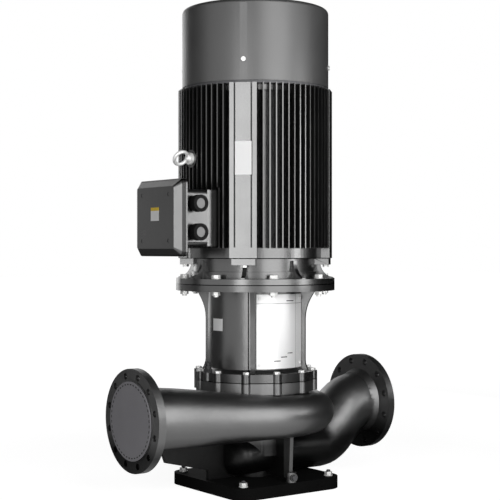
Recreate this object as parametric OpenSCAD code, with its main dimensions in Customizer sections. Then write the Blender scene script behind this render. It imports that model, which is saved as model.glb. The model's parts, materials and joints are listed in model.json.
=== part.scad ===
/* [Base plate] */
// Side of the square base plate
base_w = 440; // [430:5:480]
// Height of the base plate
base_t = 40; // [34:1:50]
// Radius of the base plate's corners
base_corner_r = 60; // [40:5:70]
// Wall of the hollow base casting
base_wall = 14; // [10:1:18]
// Spacing of the four anchor holes
anchor_spacing = 360; // [350:2:370]
// Diameter of an anchor hole
anchor_d = 22; // [18:1:26]

/* [Pipe ports] */
// Distance between the two port faces
port_span = 1000; // [980:10:1100]
// Height of the ports' common axis
port_z = 261; // [258:1:290]
// Outside diameter of a port flange
port_flange_d = 340; // [335:1:360]
// Thickness of a port flange
port_flange_t = 30; // [24:1:36]
// Diameter of the raised sealing face
port_face_d = 266; // [262:1:268]
// Height of the raised sealing face
port_face_h = 3; // [2:0.5:4]
// Bolt circle diameter of a port flange
port_pcd = 295; // [292:1:305]
// Number of bolt holes in a port flange
port_holes = 12; // [8:4:16]
// Diameter of a bolt hole in the discharge flange
port_hole_d = 22; // [18:1:22]
// Diameter of a bolt hole in the suction flange
suction_hole_d = 23; // [23:1:24]
// Inside diameter of the ports
port_bore_d = 194; // [180:2:200]
// Diameter of the covers that close the ports
cap_d = 258; // [240:2:260]
// Thickness of the port covers
cap_t = 3; // [2:0.5:5]

/* [Casing] */
// Wall of the casing
casing_wall = 9; // [7:0.5:12]
// Radius of the spiral's centre line
spiral_r = 208; // [204:1:216]
// Section radius at the start of the spiral
spiral_start_r = 44; // [38:1:50]
// Section radius at the end of the spiral
spiral_end_r = 70; // [64:1:76]
// Radius of the impeller chamber
chamber_r = 172; // [170:1:176]
// Drop from the ports' axis to the axis of the suction chamber
suction_drop = 141; // [136:1:146]
// Half height of the suction chamber
suction_h = 75; // [70:1:78]
// Half width of the suction chamber
suction_w = 118; // [105:1:130]
// Height of the head flange's top over the ports' axis
head_rise = 112; // [108:1:120]
// Thickness of the head flange
head_t = 38; // [32:1:42]
// Radius of the head flange
head_r = 205; // [204:1:210]
// Bolt circle radius of the head flange
head_bolt_r = 200; // [198:0.5:203]
// Number of casing bolts
head_bolts = 12; // [8:2:16]
// Diameter of a casing bolt
head_bolt_d = 12; // [10:1:14]
// Thickness of the casing's ribs and web
rib_t = 14; // [10:1:18]

/* [Impeller] */
// Radius of the impeller
impeller_r = 164; // [150:1:166]
// Number of vanes
vanes = 6; // [5:1:8]
// Thickness of a vane
vane_t = 7; // [5:0.5:9]
// Passage width of the impeller
impeller_b = 32; // [26:1:36]
// Thickness of the impeller's shrouds
shroud_t = 7; // [5:0.5:9]
// Radius of the impeller's eye
eye_r = 88; // [80:1:92]
// Diameter of the shaft in the impeller
nose_d = 44; // [36:1:46]

/* [Shaft seal] */
// Diameter of the pump shaft in the seal
shaft_d = 55; // [50:1:58]
// Radius of the seal chamber
seal_chamber_r = 48; // [46:0.5:54]
// Wire diameter of the seal spring
spring_wire = 5; // [4:0.5:6]
// Turns of the seal spring
spring_turns = 4; // [3:1:6]

/* [Motor stool] */
// Thickness of the stool's foot flange
stool_foot_t = 29; // [26:1:34]
// Height of the stool
stool_h = 327; // [320:1:345]
// Outside radius of the stool's walls
stool_r = 164; // [160:1:168]
// Wall of the stool
stool_wall = 13; // [10:1:16]
// Half angle of each window
window_angle = 33; // [28:1:35]
// Thickness of the stool's head flange
stool_head_t = 22; // [18:1:26]
// Thickness of the window guards
guard_t = 1.5; // [1:0.25:2.5]
// Radius of the coupling
coupling_r = 70; // [64:1:76]
// Length of the coupling
coupling_l = 170; // [150:2:180]

/* [Motor flange] */
// Outside diameter of the motor flange
motor_flange_d = 550; // [540:2:560]
// Thickness of the motor flange
motor_flange_t = 20; // [16:1:24]
// Distance from the motor flange's bolt circle to its edge
motor_bolt_edge = 25; // [20:1:28]
// Number of motor flange bolts
motor_bolts = 8; // [6:2:12]
// Diameter of a motor flange bolt
motor_bolt_d = 16; // [14:1:18]
// Distance from the fins' roots in to the bracket's neck
neck_inset = 2; // [1:0.5:6]
// Height of the bracket over the motor flange
neck_h = 68; // [62:1:74]
// Number of gussets on the bracket
gussets = 8; // [6:2:12]

/* [Motor frame] */
// Height of the frame's lower ring
frame_ring_h = 34; // [28:1:40]
// Length of the fins
fin_l = 543; // [520:1:570]
// Radius over the fin tips
fin_r = 267; // [262:1:272]
// Depth of the fins
fin_depth = 50; // [44:1:54]
// Fins in each quarter
fins = 14; // [10:1:15]
// Thickness of a fin at its tip
fin_tip_t = 4; // [3:0.5:5]
// Thickness of a fin at its root
fin_root_t = 7; // [6:0.5:9]
// Width of a frame pad
pad_w = 91; // [86:1:96]
// Width of a pad's middle plate
pad_plate_w = 50; // [44:1:54]
// Wall of the frame under the fins
frame_wall = 12; // [10:1:14]
// Length of the stator core
core_l = 300; // [260:10:320]
// Radius of the rotor as a share of the frame's bore
rotor_share = 0.605; // [0.58:0.005:0.62]
// Diameter of the motor shaft in the drive-end bearing
motor_shaft_d = 75; // [70:1:78]
// Outside diameter of the motor bearings
bearing_d = 160; // [156:1:164]
// Width of the motor bearings
bearing_w = 37; // [34:1:39]
// Balls in a bearing
balls = 8; // [7:1:9]

/* [Fan cowl] */
// Distance from the fin tips in to the cowl
cowl_inset = 13.5; // [11:0.5:16]
// Height of the cowl
cowl_h = 269; // [260:1:280]
// Sheet thickness of the cowl
cowl_t = 2; // [1.5:0.25:2.5]
// Radius of the cowl's top edge
cowl_edge_r = 14; // [10:1:18]
// Radius of the cooling fan
fan_r = 205; // [190:1:212]
// Number of fan blades
fan_blades = 8; // [6:1:12]

/* [Terminal box] */
// Width of the box body
box_w = 200; // [190:2:210]
// Height of the box body
box_h = 187; // [180:1:194]
// Height of the box's middle over the frame's lower face
box_z = 133; // [128:1:138]
// Depth of the box body
box_depth = 103.5; // [98:0.5:110]
// Distance from the fin tips out to the box's seat
box_standoff = 0.5; // [0.5:0.5:3]
// Width of the lid
lid_w = 278; // [268:2:282]
// Height of the lid
lid_h = 252; // [246:2:260]
// Depth of the lid
lid_t = 37; // [34:1:42]
// Width of the lid's sloped border
lid_bevel = 25; // [18:1:28]
// Corner radius of the lid
lid_corner_r = 16; // [10:1:22]
// Outside diameter of a cable gland
gland_d = 56; // [48:1:58]
// Length of a cable gland outside the box
gland_l = 44; // [36:1:48]
// Distance between the two cable glands
gland_pitch = 93; // [80:1:98]

/* [Lifting eye] */
// Height of the lifting eye over the frame's lower face
eye_z = 334; // [310:2:360]
// Inside diameter of the eye's ring
eye_ring_d = 36; // [32:1:38]
// Thickness of the eye's ring
eye_ring_t = 12; // [10:1:14]
// Turn of the eye's ring about its screw
eye_turn = 35; // [0:5:90]

/* [Fits] */
// Radial clearance of located and turning parts
fit = 0.05; // [0.02:0.01:0.1]
// Clearance between parts that move past each other
gap = 0.4; // [0.3:0.1:0.6]

/* [Hidden] */
$fn = 64;
ring_sides = 24;
hex = 6;

// Colours
paint = "#1c1c1e";
steel = "#b9bcc0";
zinc = "#d4d6d8";
grey_cover = "#69686e";
cowl_paint = "#55565a";
stainless = "#dfe1e3";
bronze = "#b08a4a";
iron = "#4a4b4e";
copper = "#b5643c";
dark_rubber = "#151515";

// Places along the vertical axis
suction_z = port_z - suction_drop;
head_z = port_z + head_rise;
stool_z = head_z;
stool_foot_z = stool_z + stool_foot_t;
flange_z = stool_z + stool_h;
bracket_z = flange_z + motor_flange_t;
frame_z = bracket_z + neck_h;
fin_z = frame_z + frame_ring_h;
fin_top_z = fin_z + fin_l;
shield_rim_t = 9;
cowl_z = fin_top_z + shield_rim_t;
cowl_top_z = cowl_z + cowl_h;

// Sizes that follow from the driving ones
port_x = port_span / 2;
pipe_r = port_bore_d / 2 + casing_wall;
chamber_wall = 14;
body_r = chamber_r + chamber_wall;
body_bottom_z = port_z - 62;
chamber_bottom_z = port_z - 29;
boss_r = 16;
boss_face = 0.4;
stool_boss_z = stool_foot_z + boss_face;
cap_gap = 0.2;
shaft_r = shaft_d / 2;
nose_r = nose_d / 2;
root_r = fin_r - fin_depth;
frame_bore_r = root_r - frame_wall;
rotor_r = rotor_share * frame_bore_r;
motor_pcd = motor_flange_d - 2 * motor_bolt_edge;
flange_bolt_room = 8;
neck_r = min(root_r - neck_inset, motor_pcd / 2 - motor_bolt_d - flange_bolt_room);
cowl_r = fin_r - cowl_inset;
box_back = fin_r + box_standoff;
pad_face = sqrt(fin_r * fin_r - pad_w * pad_w / 4);
quarter_turns = [45, 135, 225, 315];

// Bolt head sizes as shares of the thread
function head_h(d) = 0.65 * d;
function flats_r(d) = 0.92 * d;

// Smooth step from 0 to 1
function smooth(t) = t * t * (3 - 2 * t);
function mix(a, b, t) = a + (b - a) * t;
function polar(r, a) = [r * cos(a), r * sin(a)];
function arc(r, a0, a1, n) = [for (i = [0:n]) polar(r, a0 + (a1 - a0) * i / n)];
// A box of corner points turned by an angle about the origin
function turned(points, a) = [for (p = points) [p[0] * cos(a) - p[1] * sin(a), p[0] * sin(a) + p[1] * cos(a)]];

// Closed skin over a list of rings with equal numbers of points
module skin(rings) {
  n = len(rings[0]);
  m = len(rings);
  sides = [
    for (i = [0:m - 2])
      for (j = [0:n - 1])
        let (a = i * n + j, b = i * n + (j + 1) % n)
          each [[a, b + n, b], [a, a + n, b + n]]
  ];
  first = [for (j = [0:n - 1]) j];
  last = [for (j = [n - 1:-1:0]) (m - 1) * n + j];
  polyhedron([for (ring = rings) each ring], concat([first, last], sides));
}

module hex_head(d, h) {
  cylinder(r = flats_r(d), h = h, $fn = hex);
}

// A bolt that points down from a seat at z = 0
module hex_bolt(d, l) {
  hex_head(d, head_h(d));
  translate([0, 0, -l]) cylinder(d = d, h = l + 1);
}

module washer(d, r, h) {
  difference() {
    cylinder(r = r, h = h);
    translate([0, 0, -1]) cylinder(r = d / 2 + fit, h = h + 2);
  }
}

module ring(outer, inner, h) {
  difference() {
    cylinder(r = outer, h = h);
    translate([0, 0, -1]) cylinder(r = inner, h = h + 2);
  }
}

module rounded_square(w, h, r) {
  hull() for (x = [-1, 1], y = [-1, 1])
    translate([x * (w / 2 - r), y * (h / 2 - r)]) circle(r, $fn = 32);
}

// Exact plate with rounded corners, made of two bars and four round corners
module rounded_plate(w, h, r, t) {
  linear_extrude(t) {
    square([w - 2 * r, h], center = true);
    square([w, h - 2 * r], center = true);
    for (x = [-1, 1], y = [-1, 1]) translate([x * (w / 2 - r), y * (h / 2 - r)]) circle(r);
  }
}

// Base plate
foot_bolt_d = 12;
foot_head_z = 14;
foot_y = head_bolt_r + 3;
anchor_boss_r = anchor_d / 2 + 9;

module base_plate() {
  color(paint) difference() {
    union() {
      difference() {
        rounded_plate(base_w, base_w, base_corner_r, base_t);
        translate([0, 0, -base_wall])
          rounded_plate(base_w - 2 * base_wall, base_w - 2 * base_wall, base_corner_r - base_wall, base_t);
      }
      for (x = [-1, 1], y = [-1, 1]) translate([x, y, 0] * anchor_spacing / 2)
        cylinder(r = anchor_boss_r, h = base_t - 1);
      for (y = [-1, 1]) translate([0, y * foot_y, foot_head_z]) cylinder(r = foot_bolt_d + 4, h = base_t - foot_head_z - 1);
      for (a = [45, 135]) rotate([0, 0, a])
        translate([-anchor_spacing / 2, -base_wall / 2, 6]) cube([anchor_spacing, base_wall, base_t - 7]);
    }
    for (x = [-1, 1], y = [-1, 1]) translate([x * anchor_spacing / 2, y * anchor_spacing / 2, -1])
      cylinder(d = anchor_d, h = base_t + 2);
    for (y = [-1, 1]) translate([0, y * foot_y, -1]) {
      cylinder(r = foot_bolt_d / 2 + fit, h = base_t + 2);
      cylinder(r = flats_r(foot_bolt_d) + 1, h = foot_head_z + 1);
    }
  }
}

// Spiral: it starts behind the tongue, runs clockwise and ends as the discharge pipe
spiral_from = 205;
spiral_to = -90;
tongue_angle = 190;
spiral_steps = 34;
pipe_steps = 14;

function spiral_section(a) = mix(spiral_start_r, spiral_end_r, (spiral_from - a) / (spiral_from - spiral_to));
function upright_ring(c, dir, r) = [
  for (j = [0:ring_sides - 1])
    let (u = 360 * j / ring_sides)
      [c[0] - dir[1] * r * cos(u), c[1] + dir[0] * r * cos(u), port_z + r * sin(u)]
];
// Rings of the spiral, with the surface set in by the wall
function spiral_rings(wall, from) = [
  for (i = [0:spiral_steps])
    let (a = mix(from, spiral_to, i / spiral_steps))
      upright_ring(polar(spiral_r, a), [sin(a), -cos(a)], spiral_section(a) - wall)
];
// Rings of the discharge pipe: it starts inside the spiral's end and bends to the port's axis
pipe_lead = 24;
function discharge_rings(wall, reach) = concat(
  [upright_ring([pipe_lead, -spiral_r + 1], [-1, 0], spiral_end_r - wall - 4)],
  [for (i = [0:pipe_steps])
    let (
      t = i / pipe_steps,
      run = port_x - port_flange_t,
      slope = spiral_r * 6 * t * (1 - t) / run,
      size = sqrt(1 + slope * slope)
    )
      upright_ring([-run * t, -spiral_r * (1 - smooth(t))], [-1 / size, slope / size],
        mix(spiral_end_r, pipe_r, smooth(t)) - wall)],
  [upright_ring([-port_x - reach, 0], [-1, 0], pipe_r - wall)]
);

// Suction passage: level at the port, down through two bends, level under the impeller
bend_angle = 46;
first_bend_r = pipe_r + 22;
last_bend_r = suction_h + 25;
suction_end_x = -95;
suction_nose = 45;
bends_r = first_bend_r + last_bend_r;
slope_l = (suction_drop - bends_r * (1 - cos(bend_angle))) / sin(bend_angle);
suction_start_x = port_x - port_flange_t - 1;
suction_level_x = suction_start_x - bends_r * sin(bend_angle) - slope_l * cos(bend_angle);
function bend_down(a) = [suction_start_x - first_bend_r * sin(a), port_z - first_bend_r * (1 - cos(a)), a];
function bend_back(a) = [suction_level_x + last_bend_r * sin(a), suction_z + last_bend_r * (1 - cos(a)), a];
suction_path = concat(
  [for (i = [0:5]) bend_down(bend_angle * i / 5)],
  [for (i = [5:-1:0]) bend_back(bend_angle * i / 5)],
  [for (i = [1:4]) [mix(suction_level_x, suction_end_x, i / 4), suction_z, 0]]
);
function suction_ring(p, w, h) = [
  for (j = [0:ring_sides - 1])
    let (u = 360 * j / ring_sides, rise = h * sin(u))
      [p[0] - rise * sin(p[2]), -w * cos(u), p[1] + rise * cos(p[2])]
];
function suction_rings(wall, reach) = concat(
  [suction_ring([port_x + reach, port_z, 0], pipe_r - wall, pipe_r - wall)],
  [for (i = [0:len(suction_path) - 1])
    let (t = smooth(i / (len(suction_path) - 1)))
      suction_ring(suction_path[i], mix(pipe_r, suction_w, t) - wall, mix(pipe_r, suction_h, t) - wall)],
  [for (a = [22, 42, 60, 76])
    suction_ring([suction_end_x - (suction_nose - wall) * sin(a), suction_z, 0],
      (suction_w - wall) * mix(1, cos(a), 0.8), (suction_h - wall) * mix(1, cos(a), 0.8))]
);

// Port flange at the origin that faces along -X
module port_flange(hole_d) {
  hub_l = 26;
  rotate([0, 90, 0]) difference() {
    union() {
      translate([0, 0, port_face_h]) cylinder(d = port_flange_d, h = port_flange_t - port_face_h);
      cylinder(d = port_face_d, h = port_flange_t - 1);
      translate([0, 0, port_flange_t - 1]) cylinder(r1 = pipe_r + 12, r2 = pipe_r - 1, h = hub_l);
    }
    translate([0, 0, -1]) cylinder(d = port_bore_d, h = port_flange_t + hub_l + 2);
    for (i = [0:port_holes - 1]) rotate([0, 0, (i + 0.5) * 360 / port_holes])
      translate([port_pcd / 2, 0, -1]) cylinder(d = hole_d, h = port_flange_t + 2);
  }
}

foot_boss_r = 17;
pedestal_r = 70;
eye_collar = 42;
foot_boss_h = 33;
web_x = -(base_w / 2 - 19);
plug_d = 14;
plug_reach = 17;
plug_z = base_t + foot_boss_h / 2;
vent_d = 16;
vent_r = head_bolt_r - 2;

module head_drilling() {
  for (i = [0:head_bolts - 1]) rotate([0, 0, (i + 0.5) * 360 / head_bolts])
    translate([head_bolt_r, 0, 0]) children();
}

module foot_rib() {
  for (s = [-1, 1]) {
    translate([rib_t / 2, 0, 0]) rotate([0, -90, 0]) linear_extrude(rib_t) polygon([
      [base_t + foot_boss_h - 1, s * (foot_y - 2)], [port_z - 70, s * (foot_y + 4)],
      [port_z - 20, s * (body_r - 12)], [suction_z, s * (suction_w - 20)],
      [base_t + 12, s * (suction_w - 40)], [base_t + 12, s * foot_y]
    ]);
    translate([0, s * foot_y, base_t]) cylinder(r = foot_boss_r, h = foot_boss_h);
  }
}

module discharge_web() {
  translate([0, rib_t / 2, 0]) rotate([90, 0, 0]) linear_extrude(rib_t) polygon([
    [-port_x + 96, port_z - 60], [-port_x + 130, port_z - 148], [web_x - 8, suction_z - 46],
    [web_x, suction_z - 52], [web_x, base_t], [suction_end_x, base_t],
    [suction_end_x + 20, port_z - 50]
  ]);
}

module volute_casing() {
  color(paint) difference() {
    union() {
      skin(spiral_rings(0, spiral_from));
      skin(discharge_rings(0, -port_flange_t / 2));
      skin(suction_rings(0, -port_flange_t / 2));
      translate([0, 0, body_bottom_z]) cylinder(r = body_r, h = head_z - body_bottom_z - 1);
      translate([0, 0, suction_z]) cylinder(r = eye_r + eye_collar, h = port_z - suction_z);
      translate([0, 0, base_t]) cylinder(r = pedestal_r, h = suction_z - base_t);
      translate([0, 0, head_z - head_t]) cylinder(r = head_r, h = head_t);
      head_drilling() translate([0, 0, head_z - head_t]) cylinder(r = boss_r, h = head_t);
      foot_rib();
      discharge_web();
      translate([-port_x, 0, port_z]) port_flange(port_hole_d);
      translate([port_x, 0, port_z]) mirror([1, 0, 0]) port_flange(suction_hole_d);
      translate([0, -foot_y, plug_z]) rotate([90, 0, 0]) cylinder(r = plug_d, h = plug_reach);
    }
    skin(spiral_rings(casing_wall, tongue_angle));
    skin(discharge_rings(casing_wall, 5));
    skin(suction_rings(casing_wall, 5));
    translate([0, 0, chamber_bottom_z]) cylinder(r = chamber_r, h = head_z);
    translate([0, 0, suction_z]) cylinder(r = wear_r, h = port_z - suction_z);
    head_drilling() translate([0, 0, head_z - head_t + 6]) cylinder(r = head_bolt_d / 2 + fit, h = head_t);
    for (y = [-1, 1]) translate([0, y * foot_y, base_t - 1]) cylinder(r = foot_bolt_d / 2 + fit, h = foot_boss_h - 6);
    translate([0, -foot_y - plug_reach + 8, plug_z]) rotate([90, 0, 0]) cylinder(r = plug_d / 2 + fit, h = 10);
  }
}

// The foot bolts come up from under the base plate
module foot_bolts() {
  color(zinc) for (y = [-1, 1]) translate([0, y * foot_y, foot_head_z]) mirror([0, 0, 1])
    hex_bolt(foot_bolt_d, base_t - foot_head_z + foot_boss_h - 9);
}

module drain_plug() {
  color(zinc) translate([0, -foot_y - plug_reach, plug_z]) rotate([90, 0, 0]) {
    hex_head(plug_d * 0.8, 5);
    translate([0, 0, -7]) cylinder(d = plug_d, h = 8);
  }
}

// Impeller and its ring
wear_r = eye_r + 18;
eye_ring_r = eye_r + 8;
back_shroud_z = chamber_bottom_z + 8 + shroud_t + impeller_b;
impeller_bottom_z = chamber_bottom_z - 16;
hub_r = nose_r + 20;
hub_l = 60;

module wear_ring() {
  color(bronze) translate([0, 0, chamber_bottom_z - 20])
    ring(wear_r - fit, eye_ring_r + gap, 20);
}

// Vane outline: a band along a curve that sweeps back against the turn
function vane_line(t) = polar(mix(eye_r * 0.72, impeller_r - 1, t), -62 * t);
function vane_side(s) = [
  for (i = [0:10])
    let (t = i / 10, p = vane_line(t), q = vane_line(t + 0.01) - vane_line(t - 0.01), l = norm(q))
      p + s * vane_t / 2 * [-q[1], q[0]] / l
];

module impeller() {
  color(bronze) difference() {
    union() {
      rotate_extrude() polygon([
        [nose_r + fit, back_shroud_z - hub_l * 0.6], [hub_r - 6, back_shroud_z - hub_l * 0.6],
        [hub_r + 2, back_shroud_z - hub_l * 0.4], [hub_r + 22, back_shroud_z - 8],
        [hub_r + 44, back_shroud_z], [impeller_r, back_shroud_z],
        [impeller_r, back_shroud_z + shroud_t], [hub_r, back_shroud_z + shroud_t],
        [hub_r, back_shroud_z + hub_l * 0.3], [nose_r + fit, back_shroud_z + hub_l * 0.3]
      ]);
      rotate_extrude() polygon([
        [eye_r, impeller_bottom_z], [eye_ring_r, impeller_bottom_z],
        [eye_ring_r, back_shroud_z - impeller_b - shroud_t], [impeller_r, back_shroud_z - impeller_b - shroud_t],
        [impeller_r, back_shroud_z - impeller_b], [eye_r + 14, back_shroud_z - impeller_b],
        [eye_r, back_shroud_z - impeller_b - 12]
      ]);
      for (i = [0:vanes - 1]) rotate([0, 0, i * 360 / vanes])
        translate([0, 0, back_shroud_z - impeller_b - 1]) linear_extrude(impeller_b + 2)
          polygon(concat(vane_side(1), [for (i = [10:-1:0]) vane_side(-1)[i]]));
    }
    impeller_keyway(fit);
  }
}

key_w = 12;
key_h = 8;
module impeller_keyway(room) {
  translate([nose_r - key_h / 2 - room, -key_w / 2 - room, back_shroud_z - hub_l * 0.6 - 1])
    cube([key_h + 2 * room, key_w + 2 * room, hub_l * 0.9 + 2]);
}

module impeller_key() {
  color(steel) translate([nose_r - key_h / 2, -key_w / 2, back_shroud_z - hub_l * 0.5])
    cube([key_h, key_w, hub_l * 0.7]);
}

nut_h = 20;
module impeller_nut() {
  color(steel) translate([0, 0, back_shroud_z - hub_l * 0.6 - nut_h]) difference() {
    union() {
      cylinder(r = nose_r + 8, h = nut_h, $fn = hex);
      translate([0, 0, -8]) cylinder(r1 = nose_r - 6, r2 = nose_r + 2, h = 8);
    }
    translate([0, 0, 2]) cylinder(r = nose_r - 6 + fit, h = nut_h);
  }
}

// Pump shaft: threaded end, nose in the impeller, seal length, coupling length
coupling_z = stool_z + 95;
shaft_split_z = coupling_z + coupling_l / 2;
shaft_gap = 6;
shoulder_z = back_shroud_z + hub_l * 0.3;
module pump_shaft() {
  color(steel) difference() {
    union() {
      translate([0, 0, back_shroud_z - hub_l * 0.6 - nut_h + 4])
        cylinder(r = nose_r - 6, h = nut_h);
      translate([0, 0, back_shroud_z - hub_l * 0.6])
        cylinder(r = nose_r, h = shoulder_z - back_shroud_z + hub_l * 0.6 + 1);
      translate([0, 0, shoulder_z])
        cylinder(r = shaft_r, h = shaft_split_z - shaft_gap / 2 - shoulder_z);
    }
    impeller_keyway(fit);
  }
}

// Casing cover: a dished plate with the seal chamber in its middle
cover_rim_t = 12;
cover_rim_r = body_r;
cover_z = back_shroud_z + shroud_t + hub_l * 0.3 - 4;
cover_floor_t = 12;
seal_top_z = head_z + 24;
module casing_cover() {
  color(iron) difference() {
    rotate_extrude() polygon([
      [shaft_r + gap, cover_z], [chamber_r - fit, cover_z], [chamber_r - fit, head_z + gasket_t],
      [cover_rim_r - fit, head_z + gasket_t], [cover_rim_r - fit, head_z + cover_rim_t],
      [chamber_r - 16, head_z + cover_rim_t], [chamber_r - 22, cover_z + cover_floor_t + 6],
      [chamber_r - 30, cover_z + cover_floor_t], [seal_chamber_r + 34, cover_z + cover_floor_t],
      [seal_chamber_r + 26, cover_z + cover_floor_t + 8], [seal_chamber_r + 26, seal_top_z],
      [seal_chamber_r, seal_top_z], [seal_chamber_r, cover_z + cover_floor_t],
      [shaft_r + gap, cover_z + cover_floor_t]
    ]);
    for (a = quarter_turns) rotate([0, 0, a]) translate([seal_bolt_r, 0, seal_top_z - 20])
      cylinder(r = seal_bolt_d / 2 + fit, h = 21);
  }
}

gasket_t = 2;
module cover_gasket() {
  color(dark_rubber) translate([0, 0, head_z])
    ring(cover_rim_r - fit, chamber_r + fit, gasket_t);
}

module casing_bolts() {
  color(zinc) head_drilling() translate([0, 0, stool_boss_z])
    hex_bolt(head_bolt_d, stool_foot_t + head_t - 10);
}

// Vent: a small body screwed in the stool's foot flange with a bleed screw
module vent_body() {
  color(zinc) rotate([0, 0, 180]) translate([vent_r, 0, stool_boss_z]) difference() {
    union() {
      hex_head(vent_d * 1.1, 12);
      cylinder(r = vent_d * 0.7, h = 22);
      translate([0, 0, -stool_foot_t / 2]) cylinder(d = vent_d, h = stool_foot_t);
    }
    translate([0, 0, 4]) cylinder(r = vent_d / 4 + fit, h = 30);
  }
}

module vent_screw() {
  color(steel) rotate([0, 0, 180]) translate([vent_r, 0, stool_boss_z]) {
    translate([0, 0, 6]) cylinder(r = vent_d / 4, h = 20);
    translate([0, 0, 22 + gap]) cylinder(r = vent_d / 2, h = 9);
    translate([-vent_d * 0.8, -1.5, 24 + gap]) cube([vent_d * 1.6, 3, 12]);
  }
}

// Mechanical seal
collar_h = 8;
seal_face_z = seal_top_z - 10;
seal_head_h = 22;
collar_z = cover_z + cover_floor_t + gap;
spring_bottom = collar_z + collar_h;
spring_top = seal_face_z - seal_head_h - gap;
spring_mean_r = (shaft_r + seal_chamber_r) / 2 - 1;
spring_steps = 16;

module seal_collar() {
  color(steel) translate([0, 0, collar_z]) ring(seal_chamber_r - 3, shaft_r + fit, collar_h);
}

function spring_ring(i, n) =
  let (a = 360 * i / spring_steps, h = mix(spring_bottom + spring_wire / 2, spring_top - spring_wire / 2, i / n))
    [for (j = [0:5]) let (u = 60 * j, r = spring_mean_r + spring_wire / 2 * cos(u))
      [r * cos(a), r * sin(a), h + spring_wire / 2 * sin(u)]];
module seal_spring() {
  n = spring_turns * spring_steps;
  color(steel) skin([for (i = [0:n]) spring_ring(i, n)]);
}

module seal_head() {
  color(iron) translate([0, 0, spring_top]) {
    ring(seal_chamber_r - 3, shaft_r + fit, seal_head_h - 6);
    translate([0, 0, seal_head_h - 7]) ring(seal_chamber_r - 9, shaft_r + fit, 7);
  }
}

seal_plate_t = 14;
seal_bolt_r = seal_chamber_r + 15;
seal_bolt_d = 8;
seal_bolt_l = seal_plate_t + 14;
module seal_seat() {
  color("#8a8d92") translate([0, 0, seal_face_z]) ring(seal_chamber_r - fit, shaft_r + 2, 10 + seal_plate_t / 2);
}

module seal_plate() {
  color(iron) translate([0, 0, seal_top_z]) difference() {
    ring(seal_chamber_r + 26, shaft_r + 1, seal_plate_t);
    translate([0, 0, -1]) cylinder(r = seal_chamber_r, h = 1 + seal_plate_t / 2);
    for (a = quarter_turns) rotate([0, 0, a]) translate([seal_bolt_r, 0, -1])
      cylinder(r = seal_bolt_d / 2 + fit, h = seal_plate_t + 2);
  }
}

module seal_plate_screws() {
  color(zinc) for (a = quarter_turns) rotate([0, 0, a])
    translate([seal_bolt_r, 0, seal_top_z + seal_plate_t]) {
      hex_bolt(seal_bolt_d, seal_bolt_l);
    }
}

// Motor stool
stool_in_r = stool_r - stool_wall;
window_z = stool_foot_z + 26;
window_top_z = flange_z - stool_head_t - 22;
stool_rib_t = 16;
stool_rib_r = stool_r + 14;
rib_angles = [-90 - window_angle - 6, -90 + window_angle + 6, 90 - window_angle - 6, 90 + window_angle + 6];

// Wedge of a circle, for windows and guards
module sector(r, half_angle) {
  far = r / cos(half_angle);
  polygon([[0, 0], polar(far, -half_angle), [r * 1.3, 0], polar(far, half_angle)]);
}

module stool_rib() {
  head_reach = motor_pcd / 2 - 34;
  rotate([90, 0, 0]) translate([0, 0, -stool_rib_t / 2]) linear_extrude(stool_rib_t) polygon(concat(
    [[stool_in_r + 4, stool_z + 6], [head_r - 14, stool_z + 6], [head_r - 14, stool_foot_z]],
    [for (i = [0:4]) [mix(stool_rib_r, head_r - 16, pow(1 - i / 4, 2)), stool_foot_z + 2 + 34 * i / 4]],
    [for (i = [0:6]) [mix(stool_rib_r, head_reach, pow(i / 6, 2)), mix(flange_z - 120, flange_z - stool_head_t + 3, i / 6)]],
    [[head_reach, flange_z - 4], [stool_in_r + 4, flange_z - 4]]
  ));
}

module motor_stool() {
  color(paint) difference() {
    union() {
      translate([0, 0, stool_z]) cylinder(r = head_r, h = stool_foot_t);
      head_drilling() translate([0, 0, stool_z + 1]) cylinder(r = boss_r, h = stool_foot_t - 1 + boss_face);
      rotate([0, 0, 180]) translate([vent_r, 0, stool_z + 1]) cylinder(r = boss_r, h = stool_foot_t - 1 + boss_face);
      translate([0, 0, stool_z + 1]) cylinder(r = stool_r, h = stool_h - 2);
      translate([0, 0, stool_foot_z - 1]) cylinder(r1 = stool_r + 12, r2 = stool_r - 0.5, h = 13);
      translate([0, 0, flange_z - stool_head_t]) cylinder(d = motor_flange_d, h = stool_head_t);
      for (a = rib_angles) rotate([0, 0, a]) stool_rib();
    }
    translate([0, 0, stool_z - 1]) cylinder(r = stool_in_r, h = stool_h + 2);
    translate([0, 0, stool_z - 1]) cylinder(r = cover_rim_r + fit, h = cover_rim_t + 1);
    for (a = [-90, 90]) rotate([0, 0, a]) translate([0, 0, window_z])
      linear_extrude(window_top_z - window_z) sector(stool_r * 1.12, window_angle);
    translate([0, 0, flange_z - spigot_h - 1]) cylinder(r = spigot_r + fit, h = spigot_h + 2);
    head_drilling() translate([0, 0, stool_z - 1]) cylinder(r = head_bolt_d / 2 + bolt_slack, h = stool_foot_t + 2);
    flange_drilling() translate([0, 0, flange_z - stool_head_t - 1])
      cylinder(r = motor_bolt_d / 2 + bolt_slack, h = stool_head_t + 2);
    rotate([0, 0, 180]) translate([vent_r, 0, stool_z - 1]) cylinder(r = vent_d / 2 + fit, h = stool_foot_t + 2);
  }
}

// Window guards: curved sheets on the stool's walls, with a few short level slots
guard_angle = window_angle + 2.5;
guard_r = stool_r + 0.1;
guard_z = window_z - 11;
guard_top_z = window_top_z + 11;
guard_screw_z = [guard_z + 14, guard_top_z - 14];
guard_screw_d = 6;

guard_slot_h = 3;
guard_slot_w = 26;
guard_slot_top_w = 36;
guard_slot_turn = 9.5;
guard_slot_rise = 12.5;
guard_slot_lift = 37;
guard_slot_drop = 24;
module guard_slot(a, z, w) {
  rotate([0, 0, a]) translate([guard_r - 5, -w / 2, z]) cube([12, w, guard_slot_h]);
}

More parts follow.
